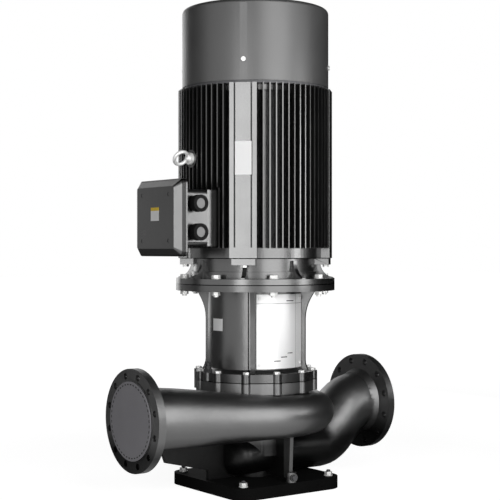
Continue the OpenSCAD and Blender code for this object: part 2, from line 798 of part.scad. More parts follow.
module guard(a) {
  color(stainless) difference() {
    rotate([0, 0, a - guard_angle]) translate([0, 0, guard_z])
      rotate_extrude(angle = 2 * guard_angle) translate([guard_r, 0]) square([guard_t, guard_top_z - guard_z]);
    for (s = [-1, 1], z = guard_screw_z) rotate([0, 0, a + s * (guard_angle - 4.5)])
      translate([guard_r - 5, 0, z]) rotate([0, 90, 0]) cylinder(d = guard_screw_d + 0.2, h = 12);
    for (i = [-1:1]) guard_slot(a + guard_slot_turn * i, guard_z + guard_slot_lift + guard_slot_rise * i, guard_slot_w);
    guard_slot(a + guard_slot_turn, guard_top_z - guard_slot_drop, guard_slot_top_w);
  }
}
module front_guard() guard(-90);
module rear_guard() guard(90);

module guard_screws() {
  color(zinc) for (a = [-90, 90], s = [-1, 1], z = guard_screw_z)
    rotate([0, 0, a + s * (guard_angle - 4.5)]) translate([guard_r + guard_t, 0, z]) rotate([0, 90, 0]) {
      cylinder(d = guard_screw_d * 1.8, h = 3);
      translate([0, 0, -guard_t - 2]) cylinder(d = guard_screw_d, h = guard_t + 3);
    }
}

// Split coupling
split = 0.6;
motor_shaft_r = motor_shaft_d / 2;
coupling_bolt_d = 14;
coupling_bolt_x = (coupling_r + motor_shaft_r) / 2 + 1;
coupling_rows = [0.15, 0.38, 0.62, 0.85];

module coupling_half() {
  difference() {
    translate([0, 0, coupling_z]) cylinder(r = coupling_r, h = coupling_l);
    translate([-coupling_r - 1, -coupling_r * 2 + split, coupling_z - 1])
      cube([2 * coupling_r + 2, coupling_r * 2, coupling_l + 2]);
    translate([0, 0, coupling_z - 1]) cylinder(r = shaft_r + fit, h = coupling_l);
    translate([0, 0, shaft_split_z]) cylinder(r = motor_shaft_r + fit, h = coupling_l);
    for (x = [-1, 1], k = coupling_rows) translate([x * coupling_bolt_x, 0, coupling_z + k * coupling_l])
      rotate([-90, 0, 0]) {
        translate([0, 0, -coupling_r]) cylinder(r = coupling_bolt_d / 2 + fit, h = 2 * coupling_r);
        translate([0, 0, coupling_r * 0.4]) cylinder(r = coupling_bolt_d + 1, h = coupling_r);
      }
  }
}
module rear_coupling_half() color(iron) coupling_half();
module front_coupling_half() color(iron) rotate([0, 0, 180]) coupling_half();

module coupling_bolts() {
  grip = coupling_r * 0.4;
  color(zinc) for (x = [-1, 1], k = coupling_rows)
    translate([x * coupling_bolt_x, 0, coupling_z + k * coupling_l]) {
      translate([0, -grip, 0]) rotate([-90, 0, 0]) cylinder(d = coupling_bolt_d, h = 2 * grip);
      for (s = [-1, 1]) translate([0, s * grip, 0]) rotate([-90 * s, 0, 0])
        cylinder(r = coupling_bolt_d * 0.9, h = head_h(coupling_bolt_d));
    }
}

// Motor bracket
spigot_h = 6;
spigot_r = stool_in_r + 8;
lower_bearing_z = bracket_z + 18;
bearing_r = bearing_d / 2;
bracket_hub_r = bearing_r + 18;
neck_wall = 12;
step_h = 23;
gusset_t = 14;
gusset_root = 6;
gusset_edge = 4;
lug_h = 22;
lug_root = 10;
lug_inset = 6;
bolt_slack = 0.8;
bracket_bolt_d = 12;
bracket_bolt_l = 40;
bracket_bolt_r = (root_r + pad_face) / 2 + 6;

module flange_drilling() {
  for (i = [0:motor_bolts - 1]) rotate([0, 0, (i + 0.5) * 360 / motor_bolts])
    translate([motor_pcd / 2, 0, 0]) children();
}

module gusset() {
  reach = motor_flange_d / 2 - gusset_edge;
  rotate([90, 0, 0]) translate([0, 0, -gusset_t / 2]) linear_extrude(gusset_t) polygon(concat(
    [[neck_r - gusset_root, flange_z + 2], [reach, flange_z + 2]],
    [for (i = [0:8]) let (t = i / 8)
      [mix(reach, neck_r + 10, sin(90 * t)), mix(bracket_z + 4, frame_z - 8, 1 - cos(90 * t))]],
    [[neck_r - gusset_root, frame_z - 8]]
  ));
}

module bracket_lugs() {
  for (a = quarter_turns) rotate([0, 0, a]) children();
}

module motor_bracket() {
  color(paint) difference() {
    union() {
      translate([0, 0, flange_z]) cylinder(d = motor_flange_d, h = motor_flange_t);
      translate([0, 0, flange_z - spigot_h]) cylinder(r = spigot_r, h = spigot_h + 1);
      translate([0, 0, bracket_z - 1]) cylinder(r = neck_r + 7, h = step_h + 1);
      translate([0, 0, bracket_z]) cylinder(r = neck_r, h = neck_h);
      for (i = [0:gussets - 1]) rotate([0, 0, i * 360 / gussets]) gusset();
      bracket_lugs() translate([neck_r - lug_root, lug_inset - pad_w / 2, frame_z - lug_h])
        cube([pad_face - neck_r + lug_root - gusset_edge, pad_w - 2 * lug_inset, lug_h]);
    }
    difference() {
      translate([0, 0, flange_z + 8]) cylinder(r = neck_r - neck_wall, h = neck_h + motor_flange_t - 20);
      translate([0, 0, flange_z]) cylinder(r = bracket_hub_r, h = neck_h + motor_flange_t);
    }
    translate([0, 0, flange_z - spigot_h - 1]) cylinder(r = bearing_r - 12, h = neck_h + motor_flange_t + 20);
    translate([0, 0, lower_bearing_z]) cylinder(r = bearing_r + fit, h = neck_h + motor_flange_t);
    translate([0, 0, lower_bearing_z + bearing_w]) cylinder(r = bracket_hub_r + fit, h = neck_h);
    flange_drilling() translate([0, 0, flange_z - 1])
      cylinder(r = motor_bolt_d / 2 + bolt_slack, h = motor_flange_t + 2);
    bracket_lugs() translate([bracket_bolt_r, 0, frame_z - lug_h - 1])
      cylinder(r = (bracket_bolt_d + bolt_slack) / 2, h = lug_h + 2);
  }
}

module bracket_bolts() {
  color(zinc) bracket_lugs() translate([bracket_bolt_r, 0, frame_z - lug_h]) mirror([0, 0, 1])
    hex_bolt(bracket_bolt_d, bracket_bolt_l);
}

washer_t = 3;
module flange_washers() {
  color(zinc) flange_drilling() translate([0, 0, bracket_z]) washer(motor_bolt_d, motor_bolt_d, washer_t);
}
module flange_bolts() {
  color(zinc) flange_drilling() translate([0, 0, bracket_z + washer_t])
    hex_bolt(motor_bolt_d, washer_t + motor_flange_t + stool_head_t + motor_bolt_d + 2);
}
module flange_nuts() {
  color(zinc) flange_drilling() translate([0, 0, flange_z - stool_head_t - 0.8 * motor_bolt_d]) difference() {
    hex_head(motor_bolt_d, 0.8 * motor_bolt_d);
    translate([0, 0, -1]) cylinder(r = motor_bolt_d / 2 + fit, h = motor_bolt_d);
  }
}

// Bearings
track_r = (bearing_r + motor_shaft_r) / 2;
ball_r = (bearing_r - motor_shaft_r) * 0.28;
race_t = (bearing_r - motor_shaft_r) * 0.3;
upper_bearing_z = fin_top_z - 6;

module bearing_outer() {
  difference() {
    ring(bearing_r, bearing_r - race_t, bearing_w);
    translate([0, 0, bearing_w / 2]) rotate_extrude() translate([track_r, 0]) circle(ball_r + fit, $fn = 48);
  }
}
module bearing_inner() {
  difference() {
    ring(motor_shaft_r + fit + race_t, motor_shaft_r + fit, bearing_w);
    translate([0, 0, bearing_w / 2]) rotate_extrude() translate([track_r, 0]) circle(ball_r + fit, $fn = 48);
  }
}
module bearing_balls() {
  for (i = [0:balls - 1]) rotate([0, 0, i * 360 / balls]) translate([track_r, 0, bearing_w / 2]) sphere(ball_r);
}
module at_lower_bearing() translate([0, 0, lower_bearing_z]) children();
module at_upper_bearing() translate([0, 0, upper_bearing_z]) children();
module lower_bearing_outer() color(steel) at_lower_bearing() bearing_outer();
module lower_bearing_inner() color(steel) at_lower_bearing() bearing_inner();
module lower_bearing_balls() color(zinc) at_lower_bearing() bearing_balls();
module upper_bearing_outer() color(steel) at_upper_bearing() bearing_outer();
module upper_bearing_inner() color(steel) at_upper_bearing() bearing_inner();
module upper_bearing_balls() color(zinc) at_upper_bearing() bearing_balls();

cap_flange_t = 8;
module bearing_cap() {
  color(iron) at_lower_bearing() translate([0, 0, bearing_w]) difference() {
    ring(bracket_hub_r, motor_shaft_r + 12, cap_flange_t);
    translate([0, 0, -1]) cylinder(r = bearing_r - 8, h = 4);
  }
}

// Motor shaft and rotor
core_z = fin_z + (fin_l - core_l) / 2;
rotor_seat_r = motor_shaft_r + 12;
fan_z = cowl_z + 92;
fan_hub_l = 60;
fan_seat_r = motor_shaft_r - 8;
module motor_shaft() {
  color(steel) {
    translate([0, 0, shaft_split_z + shaft_gap / 2])
      cylinder(r = motor_shaft_r, h = upper_bearing_z + bearing_w - shaft_split_z - shaft_gap / 2);
    translate([0, 0, lower_bearing_z + bearing_w])
      cylinder(r = motor_shaft_r + 6, h = upper_bearing_z - lower_bearing_z - bearing_w);
    translate([0, 0, core_z]) cylinder(r = rotor_seat_r, h = core_l);
    translate([0, 0, upper_bearing_z + bearing_w - 1]) cylinder(r = fan_seat_r, h = fan_z + fan_hub_l - upper_bearing_z - bearing_w);
  }
}

end_ring_h = 26;
module rotor_core() {
  color(steel) translate([0, 0, core_z]) {
    difference() {
      cylinder(r = rotor_r, h = core_l);
      translate([0, 0, -1]) cylinder(r = rotor_seat_r + fit, h = core_l + 2);
    }
    for (z = [-end_ring_h + 1, core_l - 1]) translate([0, 0, z]) ring(rotor_r - 3, rotor_r - 36, end_ring_h);
  }
}

// Cooling fan: hub, back disc and straight radial blades
fan_blade_t = 4;
fan_blade_h = 70;
module cooling_fan() {
  color(dark_rubber) translate([0, 0, fan_z]) difference() {
    union() {
      cylinder(r = fan_seat_r + 12, h = fan_hub_l);
      translate([0, 0, 4]) cylinder(r = fan_r - 20, h = 5);
      for (i = [0:fan_blades - 1]) rotate([0, 0, i * 360 / fan_blades])
        rotate([90, 0, 0]) translate([0, 0, -fan_blade_t / 2]) linear_extrude(fan_blade_t) polygon([
          [fan_seat_r + 8, 5], [fan_r - 22, 5], [fan_r, 12], [fan_r, fan_blade_h], [fan_r * 0.55, fan_blade_h],
          [fan_seat_r + 10, fan_hub_l - 4]
        ]);
    }
    translate([0, 0, -1]) cylinder(r = fan_seat_r + fit, h = fan_hub_l + 2);
  }
}

// Finned frame: one outline of pads and tapered fins runs along the frame
pad_half = asin(pad_w / 2 / fin_r);
fin_pitch = (90 - 2 * pad_half) / (fins + 1);
groove_w = 6;
groove_depth = 16;
function pad_outline(a) =
  let (h = pad_w / 2, p = pad_plate_w / 2, f = pad_face, g = pad_face - groove_depth)
    turned([[root_r - 8, -h], [f, -h], [f, -p - groove_w], [g, -p - groove_w], [g, -p], [f, -p],
      [f, p], [g, p], [g, p + groove_w], [f, p + groove_w], [f, h], [root_r - 8, h]], a);
function fin_outline(a) = turned([
  [root_r, -fin_root_t / 2], [fin_r, -fin_tip_t / 2], [fin_r, fin_tip_t / 2], [root_r, fin_root_t / 2]
], a);
frame_outline = [
  for (q = quarter_turns) each concat(
    pad_outline(q),
    [for (i = [1:fins]) each fin_outline(q + pad_half + i * fin_pitch)]
  )
];

// The box's seat is a block on the barrel, and the fins beside it are cut back to clear spanners
seat_inset = 1;
seat_x = sqrt(root_r * root_r - box_w * box_w / 4) - 6;
notch_depth = 38;
notch_w = 30;
notch_top_z = frame_z + box_z + box_h / 2 + 8;
module fin_notches() {
  for (s = [-1, 1]) translate([-box_back - 1, s * (box_w / 2 + notch_w / 2 - 2) - notch_w / 2, fin_z - 1])
    cube([notch_depth + 1, notch_w, notch_top_z - fin_z + 1]);
}

eye_boss_r = 30;
frame_lip = 20;
module motor_frame() {
  color(paint) difference() {
    union() {
      difference() {
        translate([0, 0, fin_z]) linear_extrude(fin_l) polygon(frame_outline);
        fin_notches();
      }
      translate([0, 0, frame_z]) cylinder(r = root_r + 21, h = frame_ring_h + 1);
      translate([0, 0, fin_top_z - frame_lip]) cylinder(r = root_r + 14, h = frame_lip);
      for (a = quarter_turns) rotate([0, 0, a]) translate([root_r - 10, -pad_w / 2, frame_z])
        cube([pad_face - root_r + 10, pad_w, frame_ring_h + 2]);
      translate([-box_back, seat_inset - box_w / 2, frame_z + box_z - box_h / 2 + seat_inset])
        cube([box_back - seat_x, box_w - 2 * seat_inset, box_h - 2 * seat_inset]);
      translate([-fin_r, 0, frame_z + eye_z]) rotate([0, 90, 0]) cylinder(r = eye_boss_r, h = fin_depth + 8);
    }
    translate([0, 0, frame_z - 1]) cylinder(r = frame_bore_r, h = fin_l + frame_ring_h + 2);
    translate([-box_back - 1, 0, frame_z + box_z]) rotate([0, 90, 0])
      cylinder(r = cable_hole_r, h = box_back - frame_bore_r + 20);
    translate([-fin_r - 1, 0, frame_z + eye_z]) rotate([0, 90, 0]) cylinder(r = eye_screw_d / 2 + fit, h = 41);
    bracket_lugs() translate([bracket_bolt_r, 0, frame_z - 1])
      cylinder(r = bracket_bolt_d / 2 + fit, h = bracket_bolt_l - lug_h + 2);
  }
}

module stator_core() {
  color(steel) translate([0, 0, core_z]) ring(frame_bore_r - fit, rotor_r + air_gap, core_l);
}

winding_h = 58;
winding_room = 12;
winding_step = 8;
air_gap = 0.9;
module scale_z(s) mirror([0, 0, s < 0 ? 1 : 0]) children();
module stator_windings() {
  color(copper) for (s = [-1, 1])
    translate([0, 0, core_z + core_l / 2 + s * (core_l / 2 + winding_h)]) scale_z(-s) rotate_extrude() polygon([
      [rotor_r + winding_step, winding_h], [rotor_r + winding_step, winding_step], [rotor_r + 2 * winding_step, 0],
      [frame_bore_r - winding_room - winding_step, 0], [frame_bore_r - winding_room, winding_step],
      [frame_bore_r - winding_room, winding_h]
    ]);
}

// Upper shield: it closes the frame, holds the upper bearing and carries the cowl on four posts
post_w = 40;
post_t = 14;
post_h = 86;
post_top_z = cowl_z + post_h;
cowl_screw_d = 8;
cowl_screw_z = post_top_z - 2.25 * cowl_screw_d;
shield_drop = 14;
shield_hub_wall = 16;
shaft_room = 10;
module upper_shield() {
  post_in = cowl_r - cowl_t - post_t - 2;
  floor_z = fin_top_z - shield_drop;
  color(iron) difference() {
    union() {
      translate([0, 0, fin_top_z]) cylinder(r = cowl_r - cowl_t - 2, h = shield_rim_t);
      translate([0, 0, floor_z]) cylinder(r = frame_bore_r - fit, h = shield_drop + 1);
      translate([0, 0, floor_z]) cylinder(r = bearing_r + shield_hub_wall, h = bearing_w + shield_drop + 6);
      for (a = quarter_turns) rotate([0, 0, a]) translate([post_in, -post_w / 2, fin_top_z + 2])
        cube([post_t + 1, post_w, post_top_z - fin_top_z - 2]);
    }
    translate([0, 0, floor_z - 1]) cylinder(r = motor_shaft_r + shaft_room, h = bearing_w + 4 * shield_drop);
    translate([0, 0, floor_z - 1]) cylinder(r = bearing_r + fit, h = upper_bearing_z + bearing_w - floor_z + 1);
    difference() {
      translate([0, 0, floor_z - 1]) cylinder(r = cowl_r + 2, h = post_top_z - floor_z + 2);
      translate([0, 0, floor_z - 2]) cylinder(r = cowl_r - cowl_t - fit, h = post_top_z - floor_z + 4);
    }
    for (a = quarter_turns) rotate([0, 0, a]) translate([post_in - 1, 0, cowl_screw_z])
      rotate([0, 90, 0]) cylinder(r = cowl_screw_d / 2 + fit, h = post_t + 4);
  }
}

// Cowl: a drawn shell with rings of slots in its top
slot_rings = [for (r = [60:20:cowl_r - 40]) r];
slot_w = 9;
module fan_cowl() {
  inner = cowl_r - cowl_t;
  edge_in = cowl_edge_r - cowl_t;
  color(cowl_paint) difference() {
    rotate_extrude() polygon(concat(
      [[inner, cowl_z], [cowl_r, cowl_z]],
      [for (p = arc(cowl_edge_r, 0, 90, 8)) p + [cowl_r - cowl_edge_r, cowl_top_z - cowl_edge_r]],
      [[0, cowl_top_z], [0, cowl_top_z - cowl_t]],
      [for (p = arc(edge_in, 90, 0, 8)) p + [cowl_r - cowl_edge_r, cowl_top_z - cowl_edge_r]]
    ));
    for (r = slot_rings, i = [0:5]) rotate([0, 0, i * 60 + 4]) translate([0, 0, cowl_top_z - cowl_t - 1])
      rotate_extrude(angle = 52) translate([r, 0]) square([slot_w, cowl_t + 2]);
    for (a = quarter_turns) rotate([0, 0, a]) translate([cowl_r - 10, 0, cowl_screw_z])
      rotate([0, 90, 0]) cylinder(r = cowl_screw_d / 2 + 0.4, h = 20);
  }
}

module cowl_screws() {
  color(zinc) for (a = quarter_turns) rotate([0, 0, a]) translate([cowl_r + 0.1, 0, cowl_screw_z])
    rotate([0, 90, 0]) {
      cylinder(r = cowl_screw_d, h = 5);
      translate([0, 0, -14]) cylinder(d = cowl_screw_d, h = 15);
    }
}

// Terminal box, drawn with its open face up and then turned to face -X
box_mid_z = frame_z + box_z;
box_wall = 8;
box_corner_r = 16;
box_post_r = 11;
cable_hole_r = 34;
gasket_h = 3;
lid_screw_d = 6;
lid_screw_x = box_w / 2 - 18;
lid_screw_y = box_h / 2 - 18;

module at_box() translate([-box_back, 0, box_mid_z]) rotate([0, -90, 0]) rotate([0, 0, 90]) children();
module box_corners() for (x = [-1, 1], y = [-1, 1]) translate([x * lid_screw_x, y * lid_screw_y, 0]) children();
module at_glands() {
  for (s = [-1, 1]) translate([-box_w / 2, s * gland_pitch / 2, box_depth * 0.52]) rotate([0, -90, 0]) children();
}

module terminal_box() {
  color(paint) at_box() difference() {
    union() {
      difference() {
        rounded_plate(box_w, box_h, box_corner_r, box_depth - gasket_h);
        translate([0, 0, box_wall])
          rounded_plate(box_w - 2 * box_wall, box_h - 2 * box_wall, box_corner_r - box_wall / 2, box_depth);
      }
      box_corners() translate([0, 0, 2]) cylinder(r = box_post_r, h = box_depth - gasket_h - 2);
    }
    translate([0, 0, -1]) cylinder(r = cable_hole_r, h = box_wall + 2);
    box_corners() translate([0, 0, box_depth - 30]) cylinder(r = lid_screw_d / 2 + fit, h = 40);
    at_glands() translate([0, 0, -box_wall - 5]) cylinder(r = gland_d * 0.36 + fit, h = box_wall + 10);
  }
}

module lid_gasket() {
  color(dark_rubber) at_box() translate([0, 0, box_depth - gasket_h]) difference() {
    rounded_plate(box_w, box_h, box_corner_r, gasket_h);
    translate([0, 0, -1])
      rounded_plate(box_w - 4 * box_wall, box_h - 4 * box_wall, box_corner_r - box_wall, gasket_h + 2);
    box_corners() translate([0, 0, -1]) cylinder(r = lid_screw_d / 2 + 0.3, h = gasket_h + 2);
  }
}

// Deep lid: a straight rim, a wide slope all round and a flat face, hollow inside
lid_face_corner_r = 6;
lid_skin = 6;
module terminal_lid() {
  color(paint) at_box() translate([0, 0, box_depth]) difference() {
    union() {
      difference() {
        hull() {
          linear_extrude(lid_t - lid_bevel) rounded_square(lid_w, lid_h, lid_corner_r);
          linear_extrude(lid_t)
            rounded_square(lid_w - 2 * lid_bevel, lid_h - 2 * lid_bevel, lid_face_corner_r);
        }
        translate([0, 0, -1]) rounded_plate(
          box_w - 4 * box_wall, box_h - 4 * box_wall, box_corner_r - box_wall, lid_t - lid_skin + 1
        );
      }
      box_corners() translate([0, 0, 0.5]) cylinder(r = box_post_r, h = lid_t - lid_skin);
    }
    box_corners() translate([0, 0, -1]) cylinder(r = lid_screw_d / 2 + 0.3, h = lid_t + 2);
    box_corners() translate([0, 0, lid_t - 5]) cylinder(r = lid_screw_d, h = lid_t);
  }
}

module lid_screws() {
  color(steel) at_box() box_corners() translate([0, 0, box_depth + lid_t - 5]) {
    cylinder(r = lid_screw_d - 0.5, h = 4);
    translate([0, 0, -lid_t - 12]) cylinder(d = lid_screw_d, h = lid_t + 13);
  }
}

board_w = 0.45 * box_w;
board_l = 0.64 * box_h;
board_bar = 20;
board_t = 14;
terminal_d = 10;
terminal_pitch = 0.375 * board_l;
module terminal_board() {
  color("#6b2f22") at_box() translate([0, 0, box_wall]) {
    for (x = [-1, 1]) translate([x * (board_w - board_bar) / 2, 0, board_t / 2])
      cube([board_bar, board_l, board_t], center = true);
    for (y = [-1, 1]) translate([0, y * (board_l - board_bar) / 2, board_t / 2])
      cube([board_w, board_bar, board_t], center = true);
    for (x = [-1, 1], y = [-1:1]) translate([x * (board_w - board_bar) / 2, y * terminal_pitch, board_t - 1])
      cylinder(d = terminal_d, h = 2 * board_t);
  }
}

gland_neck_l = 12;
module cable_glands() {
  color(paint) at_box() at_glands() difference() {
    union() {
      translate([0, 0, -box_wall - 4]) cylinder(r = gland_d * 0.36, h = box_wall + 5);
      cylinder(r = gland_d / 2, h = gland_neck_l, $fn = hex);
      translate([0, 0, gland_neck_l - 1]) cylinder(r = gland_d / 2 - 3, h = 7);
      translate([0, 0, gland_neck_l + 5]) cylinder(r = gland_d / 2, h = gland_l - gland_neck_l - 5);
    }
    translate([0, 0, -box_wall - 5]) cylinder(r = gland_d * 0.3 - 4, h = gland_l);
    translate([0, 0, gland_l - 8]) cylinder(r = gland_d * 0.3 + fit, h = 12);
  }
}

module gland_blanks() {
  color("#7b7d80") at_box() at_glands() translate([0, 0, gland_l - 8]) cylinder(r = gland_d * 0.3, h = 5);
}

// Lifting eye on the box side of the frame
eye_screw_d = 20;
collar_r = 20;
module lifting_eye() {
  eye_r0 = eye_ring_d / 2 + eye_ring_t / 2;
  color(zinc) translate([-fin_r, 0, frame_z + eye_z]) rotate([eye_turn, 0, 0]) rotate([0, -90, 0]) {
    translate([0, 0, -38]) cylinder(d = eye_screw_d, h = 39);
    cylinder(r = collar_r, h = 10);
    translate([0, 0, 8]) cylinder(r1 = collar_r - 5, r2 = eye_ring_t / 2, h = 14);
    translate([0, 0, 20 + eye_r0 - 4]) rotate([90, 0, 0]) rotate_extrude() translate([eye_r0, 0]) circle(eye_ring_t / 2);
  }
}

// Port covers
module port_cap() {
  rotate([0, 90, 0]) {
    cylinder(d = cap_d, h = cap_t);
    translate([0, 0, cap_t - 0.5]) ring(port_bore_d / 2 - 3, port_bore_d / 2 - 6, 12);
  }
}
module discharge_port_cap() color(grey_cover) translate([-port_x - cap_t - cap_gap, 0, port_z]) port_cap();
module suction_port_cap() {
  color(grey_cover) translate([port_x + cap_t + cap_gap, 0, port_z]) mirror([1, 0, 0]) port_cap();
}

base_plate();
volute_casing();
foot_bolts();
wear_ring();
drain_plug();
discharge_port_cap();
suction_port_cap();
casing_cover();
cover_gasket();
casing_bolts();
vent_body();
vent_screw();
impeller();
impeller_key();
impeller_nut();
pump_shaft();
seal_collar();
seal_spring();
seal_head();
seal_seat();
seal_plate();
seal_plate_screws();
motor_stool();
front_guard();
rear_guard();
guard_screws();
front_coupling_half();
rear_coupling_half();
coupling_bolts();
motor_shaft();
rotor_core();
cooling_fan();
lower_bearing_outer();
lower_bearing_inner();
lower_bearing_balls();
upper_bearing_outer();
upper_bearing_inner();
upper_bearing_balls();
bearing_cap();
motor_bracket();
flange_bolts();
flange_washers();
flange_nuts();
bracket_bolts();
motor_frame();
stator_core();
stator_windings();
upper_shield();
fan_cowl();
cowl_screws();
terminal_box();
lid_gasket();
terminal_lid();
lid_screws();
terminal_board();
cable_glands();
gland_blanks();
lifting_eye();
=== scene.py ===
# %% [markdown]
# # An in-line circulation pump
# The pump is one casting in the pipe line, with a finned motor standing on a stool above it.
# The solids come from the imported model, which stays fixed. This script gives them their finish,
# and models the surfaces that plain solids can't show: soft cast edges, labels and plates.
# Loading comes first, because every piece is placed by the boxes of the solids.

# %% Load the fixed model
import json
from math import cos, pi, radians, sin, sqrt

import bmesh
import bpy
from mathutils import Matrix, Vector


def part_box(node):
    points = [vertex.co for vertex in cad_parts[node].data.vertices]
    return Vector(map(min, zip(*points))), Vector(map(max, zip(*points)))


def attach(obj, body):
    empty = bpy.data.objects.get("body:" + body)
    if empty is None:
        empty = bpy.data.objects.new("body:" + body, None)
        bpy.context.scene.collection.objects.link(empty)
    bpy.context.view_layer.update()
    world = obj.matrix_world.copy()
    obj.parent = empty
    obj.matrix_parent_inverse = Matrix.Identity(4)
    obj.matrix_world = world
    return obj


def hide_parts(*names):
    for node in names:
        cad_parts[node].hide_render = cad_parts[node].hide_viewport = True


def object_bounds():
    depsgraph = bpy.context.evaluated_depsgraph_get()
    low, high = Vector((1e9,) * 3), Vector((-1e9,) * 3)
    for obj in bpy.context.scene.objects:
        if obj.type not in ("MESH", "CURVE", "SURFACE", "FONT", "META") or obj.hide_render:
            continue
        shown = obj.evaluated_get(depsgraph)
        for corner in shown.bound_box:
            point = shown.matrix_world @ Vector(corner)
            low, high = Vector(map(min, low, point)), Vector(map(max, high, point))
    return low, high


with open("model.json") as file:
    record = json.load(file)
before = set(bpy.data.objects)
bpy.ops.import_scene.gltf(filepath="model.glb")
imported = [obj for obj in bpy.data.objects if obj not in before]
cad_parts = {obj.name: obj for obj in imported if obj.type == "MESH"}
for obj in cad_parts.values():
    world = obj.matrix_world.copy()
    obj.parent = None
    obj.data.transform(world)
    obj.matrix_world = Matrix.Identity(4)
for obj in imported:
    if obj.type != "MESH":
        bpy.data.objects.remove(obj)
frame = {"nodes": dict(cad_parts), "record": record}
cad_low, cad_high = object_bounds()
print("solids", len(frame["nodes"]), "box", tuple(cad_low), tuple(cad_high))

# %% [markdown]
# A finish is built from nodes. Writing each sum as a Math node by hand hides the idea, so one
# small class wraps a socket and lets Python's signs add the nodes. Numbers alone are still
# worked out by Python, because only a sum that holds a wire reaches these methods.

# %% Shader sums as Python expressions
class Wire:
    """An output socket that can stand in a sum."""

    def __init__(self, finish, socket):
        self.finish = finish
        self.socket = socket

    def __add__(self, other):
        return self.finish.maths("ADD", self, other)

    def __radd__(self, other):
        return self.finish.maths("ADD", other, self)

    def __sub__(self, other):
        return self.finish.maths("SUBTRACT", self, other)

    def __rsub__(self, other):
        return self.finish.maths("SUBTRACT", other, self)

    def __mul__(self, other):
        return self.finish.maths("MULTIPLY", self, other)

    def __rmul__(self, other):
        return self.finish.maths("MULTIPLY", other, self)

    def __pow__(self, other):
        return self.finish.maths("POWER", self, other)

    def __gt__(self, other):
        return self.finish.maths("GREATER_THAN", self, other)

    def __lt__(self, other):
        return self.finish.maths("LESS_THAN", self, other)

    def __abs__(self):
        return self.finish.maths("ABSOLUTE", self)


print("sums ready")

# %% [markdown]
# Each finish is a material with one Principled shader. A number that is the same all over is
# set on the shader's own socket when the finish is made, and what changes over the surface is
# joined later. Colours and vectors would lose their parts in a Math node, so they go through
# Mix and Vector Math. Patterns read Object coordinates, because every piece has its place in
# its mesh, so that one point has the same place on a casting and on the label beside it.

# %% A finish and its nodes
class Finish:
    """A material with a Principled shader, and a method that adds any other node."""

    def __init__(self, name, **constants):
        self.material = bpy.data.materials.new(name)
        self.material.use_nodes = True
        self.tree = self.material.node_tree
        self.shader = self.tree.nodes["Principled BSDF"]
        self.set(**constants)

    def node(self, kind, settings=None, inputs=None, output=0):
        """Adds a node: its settings first, then the values or wires of its sockets."""
        node = self.tree.nodes.new(kind)
        for key, value in (settings or {}).items():
            setattr(node, key, value)
        for key, value in (inputs or {}).items():
            self.join(node.inputs[key], value)
        return Wire(self, node.outputs[output])

    def join(self, socket, value):
        if isinstance(value, Wire):
            self.tree.links.new(value.socket, socket)
        else:
            socket.default_value = value

    def set(self, **sockets):
        """Sets or joins the shader's sockets, with _ for a space in a name."""
        for key, value in sockets.items():
            self.join(self.shader.inputs[key.replace("_", " ")], value)

    def maths(self, operation, first, second=0.0):
        return self.node("ShaderNodeMath", {"operation": operation}, {0: first, 1: second})

    def place(self):
        """Where a point is on the object, in metres."""
        return self.node("ShaderNodeTexCoord", output="Object")

    def axis(self, index):
        """One coordinate of that place: 0 along the pipe, 1 across it, 2 upwards."""
        return self.node("ShaderNodeSeparateXYZ", None, {0: self.place()}, index)

    def reach(self):
        """How far a point is from the motor's axis."""
        return (self.axis(0) ** 2.0 + self.axis(1) ** 2.0) ** 0.5

    def turn(self):
        """The direction of a point from the motor's axis, in radians."""
        return self.maths("ARCTAN2", self.axis(1), self.axis(0))

    def ramp(self, value, start, end, first, last):
        """Runs from first to last while the value goes from start to end."""
        ends = {"From Min": start, "From Max": end, "To Min": first, "To Max": last}
        return self.node("ShaderNodeMapRange", None, {"Value": value, **ends})

    def noise(self, size, detail=2.0, squeeze=None):
        """Even noise with features of about this size in metres, or squeezed along an axis."""
        where = self.place()
        if squeeze:
            where = self.node("ShaderNodeMapping", None, {"Vector": where, "Scale": squeeze})
        inputs = {"Vector": where, "Scale": 1 / size, "Detail": detail}
        return self.node("ShaderNodeTexNoise", None, inputs)

    def blend(self, factor, first, second):
        """One colour where the factor is 0 and the other where it is 1."""
        settings = {"data_type": "RGBA", "clamp_factor": True}
        return self.node("ShaderNodeMix", settings, {0: factor, 6: first, 7: second}, 2)

    def bump(self, height, distance):
        return self.node("ShaderNodeBump", None, {"Height": height, "Distance": distance})


def grey(level):
    return (level, level, level, 1)


print("finish ready")

# %% [markdown]
# Satin black enamel on cast iron is the finish of most of the pump. It isn't one flat black:
# the sprayed film has a fine ripple, the sand casting under it rolls gently over centimetres,
# and the gloss changes a little with them. Two sizes of noise feed one Bump node, and a third,
# larger one moves the colour and the roughness.
#
# Some places show no gloss at all, such as the gap of a joint. The specular level could be
# lowered there, but the export loses a specular level that changes over a surface. A metal
# reflects only its own colour, so a mask that raises Metallic on black paint puts the gloss
# out in the same way.

# %% Enamel
film_size = 0.0035
sand_size = 0.03
cloud_size = 0.11
dark_line_tone = 0.002
paint_swing = 0.1


def painted(name, rough, ripple, roll, dark=0.004, light=0.008, gloss=1.0, index=1.55,
            joint_and_shadow_lines=None, shade_mask=None):
    """Black enamel, with masks for joint lines and painted shadow lines, and for painted shade.
    """
    finish = Finish(name, Specular_IOR_Level=gloss, IOR=index)
    film = finish.noise(film_size, 1.0)
    sand = finish.noise(sand_size, 2.0)
    cloud = finish.noise(cloud_size, 3.0)
    colour = finish.blend(cloud, grey(dark), grey(light))
    # The first mask darkens joint lines and painted shadow lines. Both raise Metallic, which
    # takes the gloss away, and the second one is painted shade.
    masks = [mask(finish) for mask in (joint_and_shadow_lines, shade_mask) if mask]
    if joint_and_shadow_lines:
        colour = finish.blend(masks[0], colour, grey(dark_line_tone))
    if masks:
        finish.set(Metallic=sum(masks))
    finish.set(
        Base_Color=colour,
        Roughness=rough - paint_swing / 2 + cloud * paint_swing,
        Normal=finish.bump(film * ripple + sand * roll, 1.0),
    )
    return finish.material


print("enamel ready")

